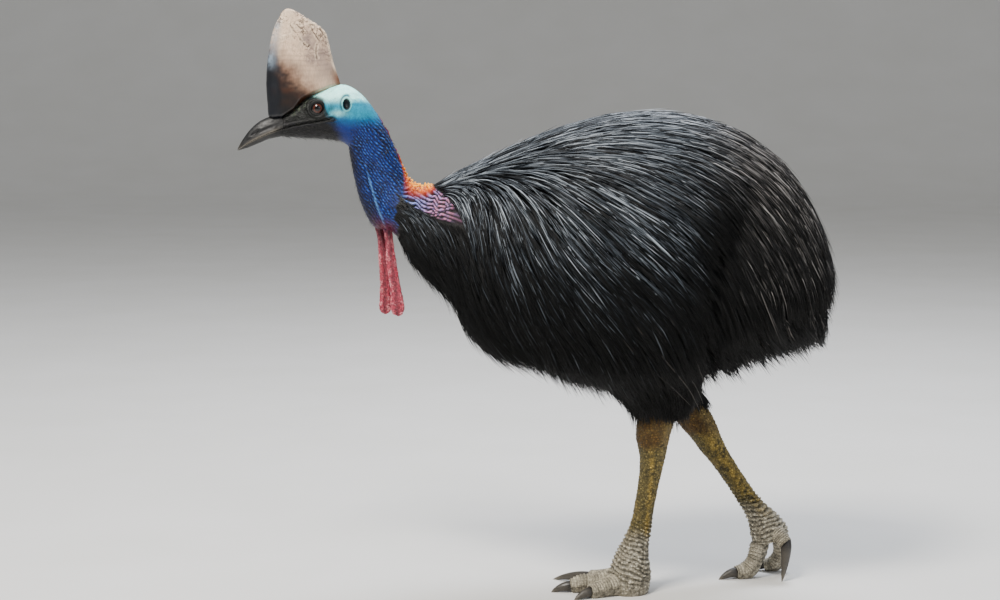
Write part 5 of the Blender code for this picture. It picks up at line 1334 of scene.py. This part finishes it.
# Toes: x, y, z down the middle with half width and half height, in mm
toes = {
    "left_middle": ((172, -64, 26, 22, 22), (140, -65, 18, 20, 20), (112, -66, 14, 17, 17), (88, -67, 14, 18, 17),
                    (66, -68, 10.5, 13, 12)),
    "left_inner": ((172, -52, 26, 19, 20), (148, -36, 17, 17, 19), (126, -21, 13.5, 15.5, 16), (108, -9, 12, 13, 14)),
    "left_outer": ((172, -76, 26, 19, 20), (146, -92, 17, 17, 19), (122, -105, 13, 15, 16), (102, -116, 11, 12, 13)),
    "right_middle": ((450, 60, 92, 20, 19), (441, 55, 62, 18.5, 17), (432, 51, 34, 17.5, 15), (416, 47, 14, 17.5, 16),
                     (394, 41, 10.5, 13, 12)),
    "right_inner": ((466, 44, 96, 17, 16), (478, 33, 86, 15.5, 14.5), (489, 25, 74, 13, 12.5)),
    "right_outer": ((474, 76, 94, 17, 17), (487, 88, 66, 16, 15.5), (488, 97, 36, 15, 14), (476, 104, 14, 14.5, 15.5),
                    (457, 108, 10.5, 12, 12)),
}
claws = {
    "left_middle": ((66, -68, 12), (44, -69, 11), (28, -70, -1)),
    "left_inner": ((108, -9, 14), (70, 14, 16), (33, 36, -1)),
    "left_outer": ((102, -116, 13), (84, -126, 10), (70, -133, -1)),
    "right_middle": ((394, 41, 13), (373, 35, 11), (358, 31, -1)),
    "right_inner": ((489, 25, 74), (488, 18, 38), (480, 15, -1)),
    "right_outer": ((457, 108, 13), (437, 110, 10), (422, 111, -1)),
}
clawLook = {"widths": {"middle": 9, "inner": 10, "outer": 8.5}, "horn": "#3d3830", "root": "#211d18", "tip": "#6e675a"}
leg = {
    "voxel": 2.8, "olive": "#635830", "ochre": "#957f45", "brown": "#5a4016", "grey": "#a09885", "paleGrey": "#ded7c3",
    "stripe": "#ad9040", "dark": "#0f0d09", "rim": "#ccba86", "khaki": "#a38d48", "scaleSpacing": 4.4, "scaleRadius": 2.3,
    "scaleHeight": 1.3, "scuteCounts": {"middle": 13, "inner": 9, "outer": 11},
    # place of the ochre stripe across the leg at each height: z, share from the middle to the rear edge
    "stripeAt": {"left": ((60, 0.55), (120, 0.47), (170, 0.24), (262, -0.06), (320, -0.1)),
                 "right": ((60, 0.5), (130, 0.45), (234, 0.3), (320, 0.2))},
    "stripeWide": {"left": 0.15, "right": 0.55}, "footTop": {"left": 132, "right": 158},
}


def makeThighCoat(material):
    # Plumes that fall round the thighs and end in a loose fringe over the shank
    style = {"spread": 4.0, "gather": 0.4, "halfWidth": 0.9, "stray": 0.1, "strayLift": 8.0, "bend": 3.0}
    for side in sides:
        rng = np.random.default_rng(thighCoat["seed"] + len(side))
        count = thighCoat["guides"]
        level = rng.uniform(0.2, 3.7, count)
        turn = rng.uniform(0, 2 * math.pi, count)
        share = np.linspace(0, 1, coat["steps"] + 1)[None]
        at = level[:, None] + thighCoat["reach"] * rng.uniform(0.8, 1.15, count)[:, None] * share
        row = spline(thighs[side], at)
        below = np.maximum(0.0, at - 5)
        climb = smooth((share + 0.02) / 0.4)
        out = -thighCoat["deep"] * (1 - climb) + rng.normal(0, 1.5, count)[:, None] * climb - below * 5
        a, b = row[..., 2] + out, row[..., 3] + out * 0.8
        z = row[..., 1] - below * thighCoat["drop"]
        x = row[..., 0] + a * np.cos(turn)[:, None] + 7 * share + rng.normal(0, 3, count)[:, None] * share
        y = thighY[side] + b * np.sin(turn)[:, None]
        path = np.stack([x, y, z], -1) * mm
        normals = np.stack([np.cos(turn), np.sin(turn), 0.15 + 0 * turn], -1)
        normals = np.broadcast_to(unit(normals)[:, None], path.shape).copy()
        rootUv = np.stack([level / 6, turn / (2 * math.pi)], -1) * 0.98 + 0.01
        valid = np.full(count, coat["steps"] + 1)
        verts, faces, uv, toneAndPaintedLight, point = strandsFrom(path, normals, valid, np.full(count, 0.8), rootUv, rng,
                                                    thighCoat["perLock"], thighCoat["rings"], style)
        coatPiece(f"plumage_thigh_{side}", verts, faces, uv, toneAndPaintedLight * 0.8, np.full(len(verts), 0.7), material)
        print("plumage thigh", side, len(verts) * len(faces), "triangles")


def toePads(share, turn):
    # Joint swellings of a toe, fuller underneath
    return 0.05 * np.cos(share * 2 * math.pi * 3) * (0.6 - 0.4 * np.sin(turn))


def legArrays(side):
    # Shank, toes and the thigh's core as overlapping tubes, before they are fused
    parts = []
    rows = [(x, thighY[side], z, a - 17, b - 15) for x, z, a, b in thighs[side]]
    parts.append(loftArrays(tubeRings(rows, 30, 48, (0, 1, 0))[0]))
    rings, share, turn = tubeRings(shanks[side], 120, 64, (-1, 0, 0.35))
    parts.append(loftArrays(rings))
    for toe in ("middle", "inner", "outer"):
        upHint = (0, 0, 1) if side == "left" else (-1, -0.3, 0.6)
        parts.append(loftArrays(tubeRings(toes[f"{side}_{toe}"], 60, 32, upHint, toePads)[0]))
    return joinArrays(parts)


def fusedLeg(side):
    verts, quads, tris = legArrays(side)
    obj = bpy.data.objects.new("leg_work", outward(meshFrom("leg_work", verts, [quads, tris])))
    bpy.context.scene.collection.objects.link(obj)
    remesh = obj.modifiers.new("Fuse", "REMESH")
    remesh.mode = "VOXEL"
    remesh.voxel_size = leg["voxel"] * mm
    relax = obj.modifiers.new("Relax", "SMOOTH")
    relax.factor = 0.5
    relax.iterations = 4
    graph = bpy.context.evaluated_depsgraph_get()
    mesh = bpy.data.meshes.new_from_object(obj.evaluated_get(graph))
    bpy.data.objects.remove(obj)
    return mesh


def legLook(points, side):
    # Colours of the leg by height and by how far round to the rear a point is, with that share and two noise fields for
    # the creases
    x, y, z = points.T / mm
    rows = np.array(shanks[side])
    at = np.interp(z, rows[::-1, 2], rows[::-1, 0])
    half = np.interp(z, rows[::-1, 2], rows[::-1, 3])
    rear = (x - at) / half
    broad, fine = grain(points, 0.03, 1.0), grain(points, 0.006, 2.0)
    colours = np.zeros((len(points), 3)) + np.array(linear(leg["olive"])[:3])
    footTop = leg["footTop"][side]
    stripeAt = np.interp(z, [p[0] for p in leg["stripeAt"][side]], [p[1] for p in leg["stripeAt"][side]])
    stripe = bump(rear + 0.12 * fine, stripeAt, leg["stripeWide"][side])
    for name, weight in (
            ("ochre", 0.4 * rise(broad + fine, -0.1, 0.6)), ("brown", rise(z + 10 * broad, 272, 300)),
            ("ochre", 0.3 * rise(z, 290, 320) * rise(-fine, -0.2, 0.4)),
            ("rim", 0.16 * rise(rear, 0.2, 0.7) * rise(z, 240, 290)),
            ("stripe", 0.8 * stripe * rise(fine + broad, -0.7, 0.1) * rise(z, 60, 120) * (1 - rise(z, 262, 300))),
            ("khaki", 0.35 * rise(rear, 0.1, 0.6) * rise(z, 150, 200) * rise(fine, -0.4, 0.3)),
            ("grey", 0.9 * (1 - rise(z + 12 * broad, footTop - 40, footTop))),
            ("paleGrey", 0.5 * rise(fine, 0.0, 0.5) * (1 - rise(z, footTop - 40, footTop))),
            ("dark", 0.5 * rise(-fine, 0.15, 0.5))):
        colours = colours + (np.array(linear(leg[name])[:3]) - colours) * np.clip(weight, 0, 1)[..., None]
    # painted shade on the leg where the thigh feathers cover it
    covered = rise(z, 352, 366)
    colours = colours * (1 - 0.93 * covered)[:, None]
    return colours, rear, broad, fine


def scaleTree(material):
    # Geometry Nodes: low six-sided plates, evenly scattered, that face out from the skin
    tree = bpy.data.node_groups.new("reticulate_scales", "GeometryNodeTree")
    for name, kind in (("Geometry", "NodeSocketGeometry"), ("Spacing", "NodeSocketFloat"), ("Radius", "NodeSocketFloat"),
                       ("Height", "NodeSocketFloat"), ("Seed", "NodeSocketInt")):
        tree.interface.new_socket(name, in_out="INPUT", socket_type=kind)
    tree.interface.new_socket("Geometry", in_out="OUTPUT", socket_type="NodeSocketGeometry")
    given = addNode(tree, "NodeGroupInput").outputs
    where = addNode(tree, "GeometryNodeInputNamedAttribute", {"Name": "scaly"}, data_type="FLOAT")
    scatter = addNode(tree, "GeometryNodeDistributePointsOnFaces", {"Density Max": 90000.0},
                      {"Mesh": given["Geometry"], "Distance Min": given["Spacing"],
                       "Density Factor": where.outputs["Attribute"], "Seed": given["Seed"]},
                      distribute_method="POISSON")
    top = addNode(tree, "ShaderNodeMath", {1: 0.62}, {0: given["Radius"]}, operation="MULTIPLY")
    plate = addNode(tree, "GeometryNodeMeshCone", {"Vertices": 6},
                    {"Radius Top": top.outputs[0], "Radius Bottom": given["Radius"], "Depth": given["Height"]})
    sunk = addNode(tree, "GeometryNodeTransform", {"Translation": (0, 0, -0.0005)}, {"Geometry": plate.outputs["Mesh"]})
    spin = addNode(tree, "FunctionNodeRandomValue", {0: (0, 0, 0), 1: (0.12, 0.12, 6.283)}, data_type="FLOAT_VECTOR")
    turned = addNode(tree, "FunctionNodeRotateRotation", None,
                     {0: scatter.outputs["Rotation"], 1: spin.outputs[0]}, rotation_space="LOCAL")
    size = addNode(tree, "FunctionNodeRandomValue", {2: 0.78, 3: 1.15}, data_type="FLOAT")
    placed = addNode(tree, "GeometryNodeInstanceOnPoints", None,
                     {"Points": scatter.outputs["Points"], "Instance": sunk.outputs[0],
                      "Rotation": turned.outputs[0], "Scale": size.outputs[1]})
    real = addNode(tree, "GeometryNodeRealizeInstances", None, {"Geometry": placed.outputs[0]})
    finished = addNode(tree, "GeometryNodeSetMaterial", {"Material": material}, {"Geometry": real.outputs[0]})
    addNode(tree, "NodeGroupOutput", None, {0: finished.outputs[0]})
    return tree


def bristleTree(material):
    # Geometry Nodes: thin tapered bristles that lean the way the skin is combed
    tree = bpy.data.node_groups.new("skin_bristles", "GeometryNodeTree")
    for name, kind in (("Geometry", "NodeSocketGeometry"), ("Density", "NodeSocketFloat"), ("Length", "NodeSocketFloat"),
                       ("Radius", "NodeSocketFloat"), ("Seed", "NodeSocketInt")):
        tree.interface.new_socket(name, in_out="INPUT", socket_type=kind)
    tree.interface.new_socket("Geometry", in_out="OUTPUT", socket_type="NodeSocketGeometry")
    given = addNode(tree, "NodeGroupInput").outputs
    where = addNode(tree, "GeometryNodeInputNamedAttribute", {"Name": "bristles"}, data_type="FLOAT")
    dense = addNode(tree, "ShaderNodeMath", None, {0: where.outputs["Attribute"], 1: given["Density"]},
                    operation="MULTIPLY")
    scatter = addNode(tree, "GeometryNodeDistributePointsOnFaces", None,
                      {"Mesh": given["Geometry"], "Density": dense.outputs[0], "Seed": given["Seed"]},
                      distribute_method="RANDOM")
    spike = addNode(tree, "GeometryNodeMeshCone", {"Vertices": 3, "Radius Top": 0.0},
                    {"Radius Bottom": given["Radius"], "Depth": given["Length"]})
    combed = addNode(tree, "GeometryNodeInputNamedAttribute", {"Name": "combed"}, data_type="FLOAT_VECTOR")
    loose = addNode(tree, "FunctionNodeRandomValue", {0: (-0.35, -0.35, -0.35), 1: (0.35, 0.35, 0.35)},
                    data_type="FLOAT_VECTOR")
    way = addNode(tree, "ShaderNodeVectorMath", None, {0: combed.outputs["Attribute"], 1: loose.outputs[0]},
                  operation="ADD")
    facing = addNode(tree, "FunctionNodeAlignRotationToVector", None, {"Vector": way.outputs[0]}, axis="Z")
    size = addNode(tree, "FunctionNodeRandomValue", {2: 0.5, 3: 1.2}, data_type="FLOAT")
    placed = addNode(tree, "GeometryNodeInstanceOnPoints", None,
                     {"Points": scatter.outputs["Points"], "Instance": spike.outputs["Mesh"],
                      "Rotation": facing.outputs[0], "Scale": size.outputs[1]})
    real = addNode(tree, "GeometryNodeRealizeInstances", None, {"Geometry": placed.outputs[0]})
    finished = addNode(tree, "GeometryNodeSetMaterial", {"Material": material}, {"Geometry": real.outputs[0]})
    addNode(tree, "NodeGroupOutput", None, {0: finished.outputs[0]})
    return tree


def grownOn(mesh, tree, values):
    # Runs a Geometry Nodes tree on a mesh and gives back what it grew
    obj = bpy.data.objects.new("growing", mesh)
    bpy.context.scene.collection.objects.link(obj)
    modifier = obj.modifiers.new("Grow", "NODES")
    modifier.node_group = tree
    for socket in tree.interface.items_tree:
        if socket.in_out == "INPUT" and socket.name in values:
            modifier[socket.identifier] = values[socket.name]
    graph = bpy.context.evaluated_depsgraph_get()
    grown = bpy.data.meshes.new_from_object(obj.evaluated_get(graph))
    obj.modifiers.remove(modifier)
    bpy.data.objects.remove(obj)
    return grown


def meshPoints(mesh):
    points = np.empty(len(mesh.vertices) * 3, np.float32)
    mesh.vertices.foreach_get("co", points)
    return points.reshape(-1, 3).astype(float)


def makeLegs(skinMaterialOfLeg, plateMaterial):
    plates = scaleTree(plateMaterial)
    for side in sides:
        mesh = fusedLeg(side)
        points = meshPoints(mesh)
        normals = np.empty(len(points) * 3, np.float32)
        mesh.vertices.foreach_get("normal", normals)
        normals = normals.reshape(-1, 3)
        colours, rear, broad, fine = legLook(points, side)
        x, y, z = points.T / mm
        footTop = leg["footTop"][side]
        # creases ring the ankle and the foot
        creaseZone = (1 - rise(z, footTop - 10, footTop + 25)) * rise(z, 14, 26)
        slope = 1 if side == "left" else -0.6
        slant = z + 0.35 * (x - points[:, 0].mean() / mm) * slope
        wave = np.sin((slant + 7 * broad + 1.6 * fine) * 2 * math.pi / 8.5)
        lift = 2.0 * creaseZone * wave + 0.8 * fine
        scutes = nearToes(points, side)
        lift *= 1 - 0.7 * scutes
        points = points + normals * (lift * mm)[:, None]
        points[:, 2] = np.maximum(points[:, 2], 0.0)
        mesh.vertices.foreach_set("co", points.astype(np.float32).ravel())
        mesh.update()
        # painted shade in the creases' troughs and painted highlight on their ridges
        colours = colours * (1 + 0.6 * creaseZone * wave)[:, None]
        setColours(mesh, "tint", np.clip(colours, 0, 1))
        scaly = (1 - rise(z, 335, 352)) * (1 - scutes) * rise(z, 4, 9)
        setNumbers(mesh, "scaly", scaly)
        grown = grownOn(mesh, plates, {"Spacing": leg["scaleSpacing"] * mm, "Radius": leg["scaleRadius"] * mm,
                                       "Height": leg["scaleHeight"] * mm, "Seed": 4})
        scalePoints = meshPoints(grown)
        plateColours = legLook(scalePoints, side)[0]
        # each plate has its own tone, and its worn rim is paler than its middle
        plateRows = scalePoints.reshape(-1, 12, 3)
        reach = np.linalg.norm(plateRows - plateRows.mean(1, keepdims=True), axis=2)
        rim = rise(reach / reach.max(1, keepdims=True), 0.75, 0.95).ravel()[:, None]
        own = np.repeat(np.random.default_rng(5).uniform(0.5, 1.45, len(plateRows)), 12)[:, None]
        nearest = (scalePoints[:, 2] / mm) + 0.35 * (scalePoints[:, 0] - points[:, 0].mean()) / mm * slope
        uneven = 7 * grain(scalePoints, 0.03, 1.0) + 1.6 * grain(scalePoints, 0.006, 2.0)
        furrow = np.sin((nearest + uneven) * 2 * math.pi / 8.5)
        inFoot = 1 - rise(scalePoints[:, 2] / mm, footTop - 10, footTop + 25)
        # plates in the foot's creases get the same painted shade and highlight
        plateColours = plateColours * own * 1.15 * (1 + 0.5 * inFoot * furrow)[:, None]
        # rims are yellowish on the shank, grey on the foot and hardly seen on the joint
        rimColour = np.array(linear(leg["rim"])[:3]) * (1 - inFoot[:, None]) \
            + np.array(linear(leg["paleGrey"])[:3]) * inFoot[:, None]
        rim = rim * (0.5 - 0.38 * rise(scalePoints[:, 2] / mm, 262, 300))[:, None]
        plateColours = plateColours + (rimColour - plateColours) * rim
        for name in ("tint", "scaly"):
            if name in grown.attributes:
                grown.attributes.remove(grown.attributes[name])
        setColours(grown, "tint", np.clip(plateColours, 0, 1))
        nodes = [f"shank_{side}", f"thigh_{side}"] + [f"toe_{side}_{toe}" for toe in ("middle", "inner", "outer")]
        piece(f"leg_skin_{side}", mesh, [skinMaterialOfLeg], nodes)
        piece(f"leg_scales_{side}", grown, [plateMaterial], ())
        print("leg", side, len(mesh.polygons), "faces and", len(grown.polygons) // 8, "scales")


def nearToes(points, side):
    # 1 on top of the toes, where broad scutes take the place of small scales
    near = np.zeros(len(points))
    for toe in ("middle", "inner", "outer"):
        rows = spline(toes[f"{side}_{toe}"], np.linspace(0.9, len(toes[f"{side}_{toe}"]) - 1, 40))
        for row in rows:
            away = np.linalg.norm(points / mm - row[:3], axis=1)
            near = np.maximum(near, 1 - rise(away, row[3] * 1.05, row[3] * 1.5))
    return near


def makeScutes(material):
    # Broad overlapping plates across the top of each toe
    for side in sides:
        parts, colours = [], []
        for toe in ("middle", "inner", "outer"):
            rows = toes[f"{side}_{toe}"]
            upHint = (0, 0, 1) if side == "left" else (-1, -0.3, 0.6)
            count = leg["scuteCounts"][toe]
            rings, share, turn = tubeRings(rows, 400, 72, upHint)
            for k in range(count):
                first = 0.22 + 0.78 * k / count
                last = first + 0.78 / count * 1.22
                along = np.clip(np.linspace(first, last, 5), 0, 1)
                arc = np.linspace(math.radians(2), math.radians(178), 13)
                s, a = np.meshgrid(along, arc, indexing="ij")
                cuts = spline(rows, s * (len(rows) - 1)) * mm
                middle = spline(rows, along * (len(rows) - 1)) * mm
                _, sideways, up = pathFrames(middle[:, :3], upHint)
                swell = 1.04 + 0.2 * np.linspace(0.0, 1.0, 5)[:, None] * np.sin(a) ** 0.4
                outer = cuts[..., :3] + sideways[:, None] * (cuts[..., 3] * swell * np.cos(a))[..., None] \
                    + up[:, None] * (cuts[..., 4] * swell * np.sin(a))[..., None]
                inner = cuts[..., :3] + sideways[:, None] * (cuts[..., 3] * 0.9 * np.cos(a))[..., None] \
                    + up[:, None] * (cuts[..., 4] * 0.9 * np.sin(a))[..., None]
                parts.append(slabArrays(outer, inner))
                # painted shade in the joint under the plate before it and a painted highlight at its free edge; the
                # plate's underside is painted darker still
                shade = np.array((0.4, 0.75, 0.95, 1.1, 1.5))[:, None] * (0.95 + 0.2 * math.sin(7.7 * k)) + 0 * a
                base = np.array(linear(leg["grey"])[:3]) * shade[..., None]
                colours.append(np.concatenate([base.reshape(-1, 3), base.reshape(-1, 3) * 0.5]))
        verts, quads, tris = joinArrays(parts)
        verts[:, 2] = np.maximum(verts[:, 2], 0.0)
        mesh = outward(meshFrom(f"toe_scutes_{side}", verts, [quads]))
        setColours(mesh, "tint", np.clip(np.concatenate(colours), 0, 1))
        piece(f"toe_scutes_{side}", mesh, [material], ())


def slabArrays(outer, inner):
    # A closed plate between an outer and an inner grid
    rows, columns = outer.shape[:2]
    verts = np.concatenate([outer.reshape(-1, 3), inner.reshape(-1, 3)])
    k, j = np.meshgrid(np.arange(rows - 1), np.arange(columns - 1), indexing="ij")
    a = (k * columns + j).ravel()
    top = np.stack([a, a + 1, a + columns + 1, a + columns], -1)
    under = top[:, ::-1] + rows * columns
    rim = np.concatenate([
        np.arange(columns - 1), columns - 1 + columns * np.arange(rows - 1),
        (rows * columns - 1) - np.arange(columns - 1), (rows - 1) * columns - columns * np.arange(rows - 1)])
    following = np.roll(rim, -1)
    edge = np.stack([following, rim, rim + rows * columns, following + rows * columns], -1)
    return verts, np.concatenate([top, under, edge]), np.zeros((0, 3), int)


def makeClaws(material):
    for name, (root, middle, point) in claws.items():
        side, toe = name.split("_")
        root, middle, point = (np.array(p, float) for p in (root, middle, point))
        back = unit(root - middle)
        half = clawLook["widths"][toe]
        rows = []
        for share, width in ((-0.12, 0.86), (0.05, 1.0), (0.2, 0.97), (0.35, 0.87), (0.5, 0.73), (0.65, 0.57),
                             (0.8, 0.39), (0.92, 0.2), (1.0, 0.03)):
            u = max(share, 0.0)
            at = root * (1 - u) ** 2 + middle * 2 * u * (1 - u) + point * u * u + back * max(-share, 0) * 60
            rows.append((*at, half * width, half * width * 1.05))
        upHint = (0, 0, 1) if abs(back[2]) < 0.8 else (-1, 0, 0)
        rings, share, turn = tubeRings(rows, 60, 40, upHint)
        fine = grain(rings, 0.002, 3.0)
        rings = rings + ringNormals(rings) * ((0.12 * fine + 0.2 * np.sin(turn * 2) * (1 - share)) * mm)[..., None]
        rings[..., 2] = np.maximum(rings[..., 2], 0.0)
        colours = np.zeros(share.shape + (3,)) + np.array(linear(clawLook["horn"])[:3])
        for tint, weight in (("root", 1 - rise(share, 0.1, 0.35)), ("tip", rise(share, 0.6, 1.0) * 0.7)):
            colours = colours + (np.array(linear(clawLook[tint])[:3]) - colours) * weight[..., None]
        verts, quads, tris = loftArrays(rings)
        mesh = outward(meshFrom(f"claw_horn_{name}", verts, [quads, tris]))
        ends = np.array([linear(clawLook["root"])[:3], linear(clawLook["tip"])[:3]])
        setColours(mesh, "tint", np.concatenate([colours.reshape(-1, 3), ends]))
        piece(f"claw_horn_{name}", mesh, [material], (f"claw_{name}",))


# Wings

wing = {
    "arm": ((92, 650, 5), (112, 640, 15), (152, 622, 19), (184, 607, 16), (203, 597, 5)),
    "sunk": 11, "armSunk": 18, "radius": 1.25, "clearance": 3.2, "hangsBelow": 470,
    "quills": (
        ((205, 594), (239, 550), (280, 485), (303, 437), (312, 404)),
        ((172, 586), (212, 534), (256, 474), (294, 412), (308, 380)),
        ((150, 574), (188, 521), (234, 467), (279, 411), (301, 368)),
        ((126, 558), (160, 500), (206, 452), (252, 410), (284, 378))),
}


def makeWings(material):
    for side, sign in sides.items():
        parts = []
        rows = [(x, sign * (flankPoint(x * mm, z * mm, first=torsoStart) / mm - wing["sunk"] - wing["armSunk"]), z, r, r * 0.8)
                for x, z, r in wing["arm"]]
        parts.append(loftArrays(tubeRings(rows, 40, 24, (0, 0, 1))[0]))
        for line in wing["quills"]:
            rows, hangY = [], None
            for n in range(9):
                share = n / 8
                x, z = spline(line, share * (len(line) - 1))
                if z > wing["hangsBelow"] or hangY is None:
                    hangY = flankPoint(x * mm, max(z, wing["hangsBelow"]) * mm, first=torsoStart) / mm
                clear = (wing["clearance"] + wing["sunk"]) * float(smooth((share + 0.02) / 0.34)) - wing["sunk"]
                inward = max(0.0, wing["hangsBelow"] - z) * 0.2
                radius = wing["radius"] * (1 - 0.75 * share ** 2)
                rows.append((x, sign * (hangY + clear - inward), z, radius, radius))
            parts.append(loftArrays(tubeRings(rows, 48, 10, (0, 1, 0))[0]))
        verts, quads, tris = joinArrays(parts)
        mesh = outward(meshFrom(f"wing_quills_{side}", verts, [quads, tris]))
        piece(f"wing_quills_{side}", mesh, [material], (f"wing_{side}",))


def makeBristles(skinPiece, material):
    mesh = skinPiece.data.copy()
    points = meshPoints(mesh)
    normals = np.empty(len(points) * 3, np.float32)
    mesh.vertices.foreach_get("normal", normals)
    normals = normals.reshape(-1, 3).astype(float)
    # bristles point back over the head and down the neck
    down = rise(-points[:, 0], 0.30, 0.36)
    way = np.stack([0.35 + 0.75 * down, 0 * down, -1.0 + 0.9 * down], -1)
    way = unit(way - normals * np.sum(way * normals, -1, keepdims=True)) + normals * 0.42
    layer = mesh.attributes.new("combed", "FLOAT_VECTOR", "POINT")
    layer.data.foreach_set("vector", way.astype(np.float32).ravel())
    grown = grownOn(mesh, bristleTree(material), {"Density": 110000.0, "Length": 0.011, "Radius": 0.00022, "Seed": 8})
    print("bristles", len(grown.polygons) // 4)
    roots = meshPoints(grown).reshape(-1, 4, 3).mean(1)
    spot = (roots - roots.min(0)) / np.ptp(roots, axis=0)
    spot = np.stack([spot[:, 0], spot[:, 2] * 0.49 + 0.5 * (roots[:, 1] > 0)], -1) * 0.98 + 0.01
    patch = np.array([(0, -0.5), (0.5, -0.5), (-0.5, -0.5), (0, 0.5)]) * coat["patch"]
    layer = grown.uv_layers.new(name="OFBake")
    corners = np.empty(len(grown.loops), np.int32)
    grown.loops.foreach_get("vertex_index", corners)
    layer.uv.foreach_set("vector", (spot[:, None] + patch).reshape(-1, 2)[corners].astype(np.float32).ravel())
    piece("skin_bristles", grown, [material], ())


# Stage

def makeStage():
    # one sheet of paper that lies flat and sweeps up far behind the bird
    mesh = bpy.data.meshes.new("studio_floor")
    bend, wide = 5.0, 30.0
    profile = [(-30.0, 0.0), (9.0, 0.0)]
    profile += [(9.0 + bend * math.sin(a), bend * (1 - math.cos(a))) for a in np.linspace(0.05, math.pi / 2, 24)]
    profile.append((9.0 + bend, 30.0))
    verts = [(x, y, z) for y, z in profile for x in (-wide, wide)]
    faces = [(2 * k, 2 * k + 1, 2 * k + 3, 2 * k + 2) for k in range(len(profile) - 1)]
    mesh.from_pydata(verts, [], faces)
    mesh.shade_smooth()
    floor = bpy.data.objects.new("studio_floor", mesh)
    bpy.context.scene.collection.objects.link(floor)
    mesh.materials.append(floorMaterial())
    world = bpy.data.worlds.new("studio")
    bpy.context.scene.world = world
    world.use_nodes = True
    sky = world.node_tree.nodes["Background"]
    sky.inputs["Color"].default_value = linear("#e9edf2")
    sky.inputs["Strength"].default_value = 0.48
    for name, place, target, size, power, colour in (
            ("key_light", (-1.4, -2.4, 4.2), (0.0, 0.0, 0.7), 1.3, 335, "#fffaf2"),
            ("fill_light", (2.8, -3.0, 2.0), (0.1, 0.0, 0.6), 2.4, 35, "#e8f0ff"),
            ("back_light", (0.9, 1.9, 4.2), (0.1, 0.0, 0.8), 1.8, 260, "#eef4ff")):
        light = bpy.data.lights.new(name, "AREA")
        light.shape = "SQUARE"
        light.size = size
        light.energy = power
        light.color = linear(colour)[:3]
        lamp = bpy.data.objects.new(name, light)
        lamp.location = place
        lamp.rotation_euler = (Vector(target) - Vector(place)).to_track_quat("-Z", "Y").to_euler()
        bpy.context.scene.collection.objects.link(lamp)
    camera = bpy.data.cameras.new("photo_camera")
    camera.lens = 85
    camera.sensor_width = 36
    eyepiece = bpy.data.objects.new("photo_camera", camera)
    eyepiece.location = (-0.0694, -4.49, 1.10)
    eyepiece.rotation_euler = (math.radians(90 - 6.92), 0, 0)
    bpy.context.scene.collection.objects.link(eyepiece)
    bpy.context.scene.camera = eyepiece


print("stage: lights, floor and camera")
makeStage()
print("stage: skin and eyes")
skinPiece = makeSkin(skinMaterial())
makeEyes(eyeMaterial())
print("stage: casque, bill and wattles")
makeCasque(casqueMaterial())
makeBill(hornMaterial("polished_bill_horn", 900.0, 0.44))
makeWattles(wattleMaterial())
print("stage: legs and feet")
makeLegs(legMaterial("dry_leg_skin", 0.75), legMaterial("worn_leg_scales", 1.0))
makeScutes(legMaterial("toe_scute_horn", 1.05))
makeClaws(hornMaterial("dull_claw_horn", 700.0, 0.45))
print("stage: wings and bristles")
makeWings(quillMaterial("black_quill_shaft", "#080706", "#3a322b", 0.28))
makeBristles(skinPiece, quillMaterial("fine_black_bristle", "#080807", "#3c3e36", 0.4))
print("stage: plumage")
feather = plumageMaterial()
makeCoat(feather)
makeThighCoat(feather)
